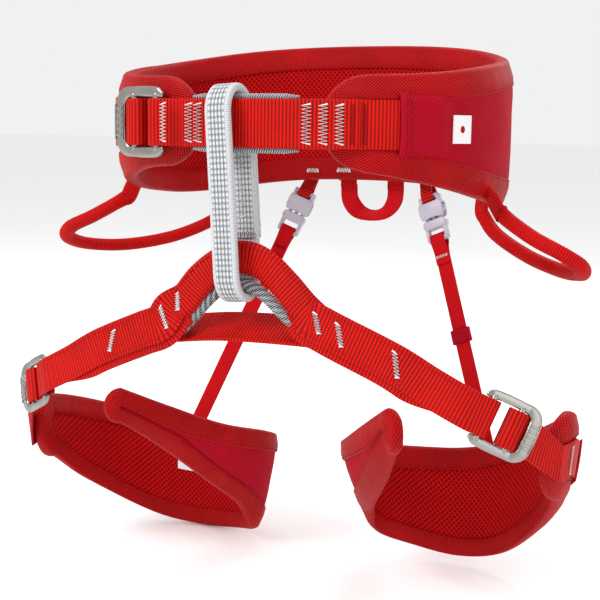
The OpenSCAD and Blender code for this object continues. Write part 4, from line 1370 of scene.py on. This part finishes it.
def female_data(s):
    at = riser_clip_point(s)
    plate = [(-7.4, 5.2), (7.4, 5.2), (8.5, 7.4), (8.5, 12.6), (7.7, 15.8), (5.6, 16.4), (2.8, 15.6), (-2.8, 15.6),
             (-5.6, 16.4), (-7.7, 15.8), (-8.5, 12.6), (-8.5, 7.4)]
    parts = [prism(plate, 1.9, 3.5, 0.45, at), prism(plate, -3.5, -1.9, 0.45, at)]
    parts.append(rounded_box((-8.2, 5.1, -3.1), (8.2, 7.2, 3.1), 0.5, at))
    parts.append(rounded_box((-1.9, 8.5, 3.3), (1.9, 13.5, 3.75), 0.2, at))
    for x in (-4.6, 4.6):
        parts.append(rounded_box((x - 0.5, 7.2, 3.3), (x + 0.5, 13.8, 3.8), 0.2, at))
    parts.append(rounded_box((-7.6, 0.1, -2.7), (7.6, 2.9, 2.7), 1.1, at, 3))
    for x in (-7.5, 4.9):
        parts.append(rounded_box((x, 1.6, -2.7), (x + 2.6, 6.2, 2.7), 0.8, at))
    return join_data(parts)


def male_data(s):
    at = riser_clip_point(s)
    parts = [rounded_box((-1.05, 8.2, -1.4), (1.05, 17.8, 1.4), 0.35, at)]
    shoulder = [(-6.6, 17.0), (6.6, 17.0), (8.1, 18.6), (8.1, 21.4), (6.9, 23.2), (-6.9, 23.2), (-8.1, 21.4), (-8.1, 18.6)]
    parts.append(prism(shoulder, -2.9, 2.9, 0.7, at))
    parts.append(rounded_box((-4.4, 18.6, 2.7), (4.4, 21.2, 3.25), 0.2, at))
    for x in (-7.5, 5.1):
        parts.append(rounded_box((x, 22.0, -2.3), (x + 2.4, 30.5, 2.3), 0.7, at))
    parts.append(rounded_box((-7.5, 28.6, -2.3), (7.5, 31.4, 2.3), 1.0, at, 3))
    return join_data(parts)


def latch_data(s, e):
    outline = [(3.4, 16.8), (5.4, 16.8), (6.7, 14.6), (7.5, 12.9), (8.5, 12.4), (8.85, 10.8), (8.8, 9.4), (8.0, 8.7),
               (6.9, 8.8), (5.0, 10.4), (3.9, 12.2), (3.4, 13.6)]
    ridges = [rounded_box((e * 8.7 - 0.35, y, -1.2), (e * 8.7 + 0.35, y + 0.5, 1.2), 0.12, riser_clip_point(s)) for y in (9.7, 10.7, 11.7)]
    body = prism([(e * x, y) for x, y in outline], -1.45, 1.45, 0.3, riser_clip_point(s))
    return join_data([body] + ridges)


def make_riser(s, side):
    upper, lower = f"riser_upper_{side}", f"riser_lower_{side}"
    top = [(-0.5, 0.9), (3, 1.0), (8, 2.2), (11.5, 3.5), (15.0, 3.8), (16.8, 3.0), (17.4, 0), (16.8, -3.0), (15.0, -3.8), (11.5, -3.5),
           (8, -2.2), (3, -1.0), (-0.5, -0.9)]
    tab = riser_tape(s, soft_points(top), TAB_W, 1.2)
    piece(f"riser_tape_{side}", tab, WEBBING, upper, [f"riser_tab_{side}"])
    piece(f"clip_socket_{side}", female_data(s), LILAC, upper, [f"clip_female_{side}"])
    piece(f"clip_plug_{side}", male_data(s), LILAC, lower, [f"clip_male_{side}"])
    for e, tag in ((-1, "a"), (1, "b")):
        piece(f"clip_latch_{side}_{tag}", latch_data(s, e), LILAC, f"latch_{side}_{tag}", [f"latch_arm_{side}_{tag}"])
    c = CLIP_D
    loop = [(c + 47, -1.15), (c + 40, -1.2), (c + 35.5, -2.0), (c + 32.5, -3.1), (c + 29.5, -3.2), (c + 27.4, -2.2), (c + 26.9, 0),
            (c + 27.4, 2.2), (c + 29.5, 3.2), (c + 32.5, 3.0), (c + 36, 1.2), (c + 41, 0.25), (c + 50, 0.0), (R_LEN - 20, 0), (R_LEN - 0.5, 0)]
    strap = riser_tape(s, soft_points(loop, 6), RISER_W, 1.15)
    piece(f"riser_band_{side}", strap, ELASTIC, lower, [f"riser_strap_{side}"])
    at = riser_point(s)
    def face(d, n, flip=1):
        return lambda x, q: (at((q, d + x, n)), side_vec(s, R_OUT * flip))
    tacks = [zigzag(face(c + 39, 1.05), 1.6, 8, 7), zigzag(face(c + 45, 1.0), 1.6, 8, 7), zigzag(face(c + 42, -1.95, -1), 1.6, 8, 7)]
    piece(f"riser_tacks_{side}", join_data(tacks), WHITE if s > 0 else RED_THREAD, lower)
    if s > 0:
        rows = []
        for d in np.linspace(103.6, 112.4, 9):
            rows.append([at((b, d, a)) for a, b in superellipse(6.5, 1.95, 28, 0.35)])
        inner = []
        for d in np.linspace(103.6, 112.4, 9):
            inner.append([at((b, d, a)) for a, b in superellipse(5.5, 0.95, 28, 0.35)])
        piece("riser_keeper_band", tube_data(rows, inner), CRIMSON, lower, ["riser_keeper_left"])
        piece("riser_keeper_tack", zigzag(face(108, 2.2), 2.0, 8, 7), WHITE, lower)


def superellipse(w, t, n, e):
    out = []
    for i in range(n):
        a = 2 * math.pi * i / n
        out.append((t * spow(math.sin(a), e), w * spow(math.cos(a), e)))
    return out


def tube_data(outer, inner):
    """Open sleeve with a wall: outer and inner skins joined at both ends."""
    rows = list(outer) + list(inner)[::-1]
    return loft_data(rows, loop=True)


def make_riser_anchor(s, side):
    """Tape sewn to the back of the leg pad that the riser ends on."""
    u = 6.45
    top = side_vec(s, R_TOP + R_DIR * (R_LEN - 9) - R_OUT * 1.5)
    surf = LEG_FOAM + 2 * FABRIC + 0.9
    low = [pad_point(s, u, z, surf) for z in (-226, -219, -213)]
    mid = side_vec(s, R_TOP + R_DIR * (R_LEN - 1) - R_OUT * 1.6)
    path = even(curve([low[0], low[1], low[2] * 0.6 + mid * 0.4, mid, top], 60), 0.9)
    across = side_vec(s, R_SIDE)
    piece(f"riser_foot_{side}", sweep(path, flat_profile(RISER_W + 1.5, 1.3, side=7), across), WEBBING, "leg_unit")
    c = pad_point(s, u, -221, surf + 1.25)
    nrm = unit(pad_point(s, u, -221, surf + 3) - pad_point(s, u, -221, surf))
    t = unit(low[1] - low[0])
    w = unit(np.cross(nrm, t))
    tack = zigzag(lambda x, q: (c + t * x + w * q, nrm), 2.0, 9, 8)
    piece(f"riser_foot_tack_{side}", tack, WHITE, "leg_unit")


# ---------------------------------------------------------------- gear and haul loops
GEAR = [(116.5, -16, -47), (124, -20, -52), (138, -24, -60), (153, -25, -67), (161.5, -17, -74), (159, 1, -80),
        (144, 25, -82), (120, 45, -77), (97, 58, -66), (86, 63, -53.5)]
GEAR_R = 4.4
HAUL = [(-13.5, 95.5, -41), (-12.5, 95.5, -51), (-6.5, 95.5, -58.5), (3, 95.5, -61), (12.5, 95.5, -58.5),
        (18.5, 95.5, -51), (19.5, 95.5, -41)]


def make_gear_loop(s, side):
    """Stiff woven tube with fine ribs, pressed flat where it is sewn in."""
    path = even(curve([side_vec(s, p) for p in GEAR], 160), 0.55)
    n = len(path)
    rows = []
    for i, (p, a, b) in enumerate(frames(path, vec(0, 0.1, 1))):
        end = smooth(min(i, n - 1 - i) * 0.55 / 11)
        rib = 1 + 0.012 * math.cos(2 * math.pi * i * 0.55 / 2.2)
        row = []
        for k in range(20):
            q = 2 * math.pi * k / 20
            groove = 1 - 0.2 * math.exp(-((math.cos(q) / 0.3) ** 2))
            row.append(p + GEAR_R * rib * groove * (math.cos(q) * a * lerp(0.4, 1, end) + math.sin(q) * b * lerp(1.15, 1, end)))
        rows.append(row)
    piece(f"gear_tube_{side}", loft_data(rows), SLEEVE, f"gear_loop_{side}", [f"gear_loop_{side}"])
    stubs = []
    for end, beyond, t in ((GEAR[0], GEAR[1], 99), (GEAR[-1], GEAR[-2], 53)):
        tip, inner = side_vec(s, end), side_vec(s, lerp(vec(*end), vec(*beyond), 0.25))
        seat = belt_point(s * t, belt_bottom(t) + 5, 0.6)
        line = even(curve([seat, lerp(seat, tip, 0.55) + vec(0, 0, 1.5), tip, inner], 40), 0.8)
        stubs.append(sweep(line, flat_profile(GEAR_R * 2.25, GEAR_R * 0.85, side=7), side_vec(s, vec(0.87, -0.5, 0))))
    piece(f"gear_stub_{side}", join_data(stubs), SLEEVE, "waist_belt")


def make_haul_loop():
    """Flat tape loop whose legs face outwards and whose bend is turned on edge."""
    path = even(curve(HAUL, 90), 0.8)
    n = len(path) - 1
    rows = []
    for i, (p, s, w) in enumerate(frames(path, vec(0, 1, 0))):
        a0 = math.radians(lerp(86, 30, math.sin(math.pi * i / n) ** 3))
        c, k = math.cos(a0), math.sin(a0)
        prof = flat_profile(11.5, 1.6, side=9, edge=0.15)
        rows.append([p + (a * c - b * k) * s + (a * k + b * c) * w for a, b in prof])
    piece("haul_tape", loft_data(rows), ELASTIC, "haul_loop", ["haul_loop"])
    ends = []
    for end in (HAUL[0], HAUL[-1]):
        line = [vec(end[0], 94.6, z) for z in (-31, -35, -39, -43)]
        ends.append(sweep(line, flat_profile(11.5, 1.5, side=7), vec(1, 0, 0)))
    piece("haul_loop_ends", join_data(ends), ELASTIC, "waist_belt")


# ---------------------------------------------------------------- the whole harness
make_belt()
make_buckle("waist_buckle", WAIST_BUCKLE, "waist_buckle", ["waist_buckle_frame", "waist_buckle_bars", "waist_buckle_fold"])
make_belay_loop()
make_tie_in()
make_leg_straps()
for sign, name in ((1, "left"), (-1, "right")):
    make_leg_pad(sign, name)
    make_buckle(f"leg_buckle_{name}", LEG_BUCKLES[sign], f"leg_buckle_{name}",
                [f"leg_buckle_frame_{name}", f"leg_buckle_bars_{name}", f"leg_buckle_fold_{name}"])
    make_riser(sign, name)
    make_riser_anchor(sign, name)
    make_gear_loop(sign, name)
make_leg_trim()
make_haul_loop()


# ---------------------------------------------------------------- floor, light, camera
def make_floor(z):
    bpy.ops.mesh.primitive_grid_add(x_subdivisions=8, y_subdivisions=8, size=40, location=(0, 0, z))
    floor = bpy.context.object
    floor.name = "floor"
    mat, _, bsdf = material("pale_floor", (0.95, 0.95, 0.95), 0.95)
    floor.data.materials.append(mat)


def area_light(name, place, aim, size, power):
    data = bpy.data.lights.new(name, "AREA")
    data.shape = "RECTANGLE"
    data.size, data.size_y = size
    data.energy = power
    obj = bpy.data.objects.new(name, data)
    bpy.context.collection.objects.link(obj)
    obj.location = place
    obj.rotation_euler = (Vector(aim) - Vector(place)).to_track_quat("-Z", "Y").to_euler()


def make_light():
    world = bpy.data.worlds.new("studio")
    world.use_nodes = True
    world.node_tree.nodes["Background"].inputs[0].default_value = (1, 1, 1, 1)
    world.node_tree.nodes["Background"].inputs[1].default_value = 0.88
    bpy.context.scene.world = world
    centre = (0, 0, -0.1)
    area_light("key", (-0.7, -1.2, 0.9), centre, (0.6, 0.6), 17)
    area_light("fill", (1.3, -0.9, 0.2), centre, (0.9, 0.9), 4)
    area_light("top", (0.1, 0.2, 1.4), centre, (1.0, 1.0), 8)
    area_light("back", (0.3, 1.3, 0.5), centre, (0.9, 0.6), 4)


def make_camera():
    az, el, roll = math.radians(23.5), math.radians(8.5), math.radians(0.8)
    target = Vector((-6, -2, -106)) * MM
    away = Vector((math.sin(az) * math.cos(el), -math.cos(az) * math.cos(el), math.sin(el)))
    data = bpy.data.cameras.new("camera")
    data.sensor_width = 36
    data.lens = 70
    data.clip_start = 0.02
    cam = bpy.data.objects.new("camera", data)
    bpy.context.collection.objects.link(cam)
    cam.location = target + away * 0.7
    look = (target - cam.location).to_track_quat("-Z", "Y")
    cam.rotation_mode = "QUATERNION"
    cam.rotation_quaternion = look @ Quaternion((0, 0, 1), roll)
    bpy.context.scene.camera = cam


lo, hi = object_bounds()
make_floor(lo[2] - 0.0005)
make_light()
make_camera()
bpy.context.scene.view_settings.view_transform = "Standard"
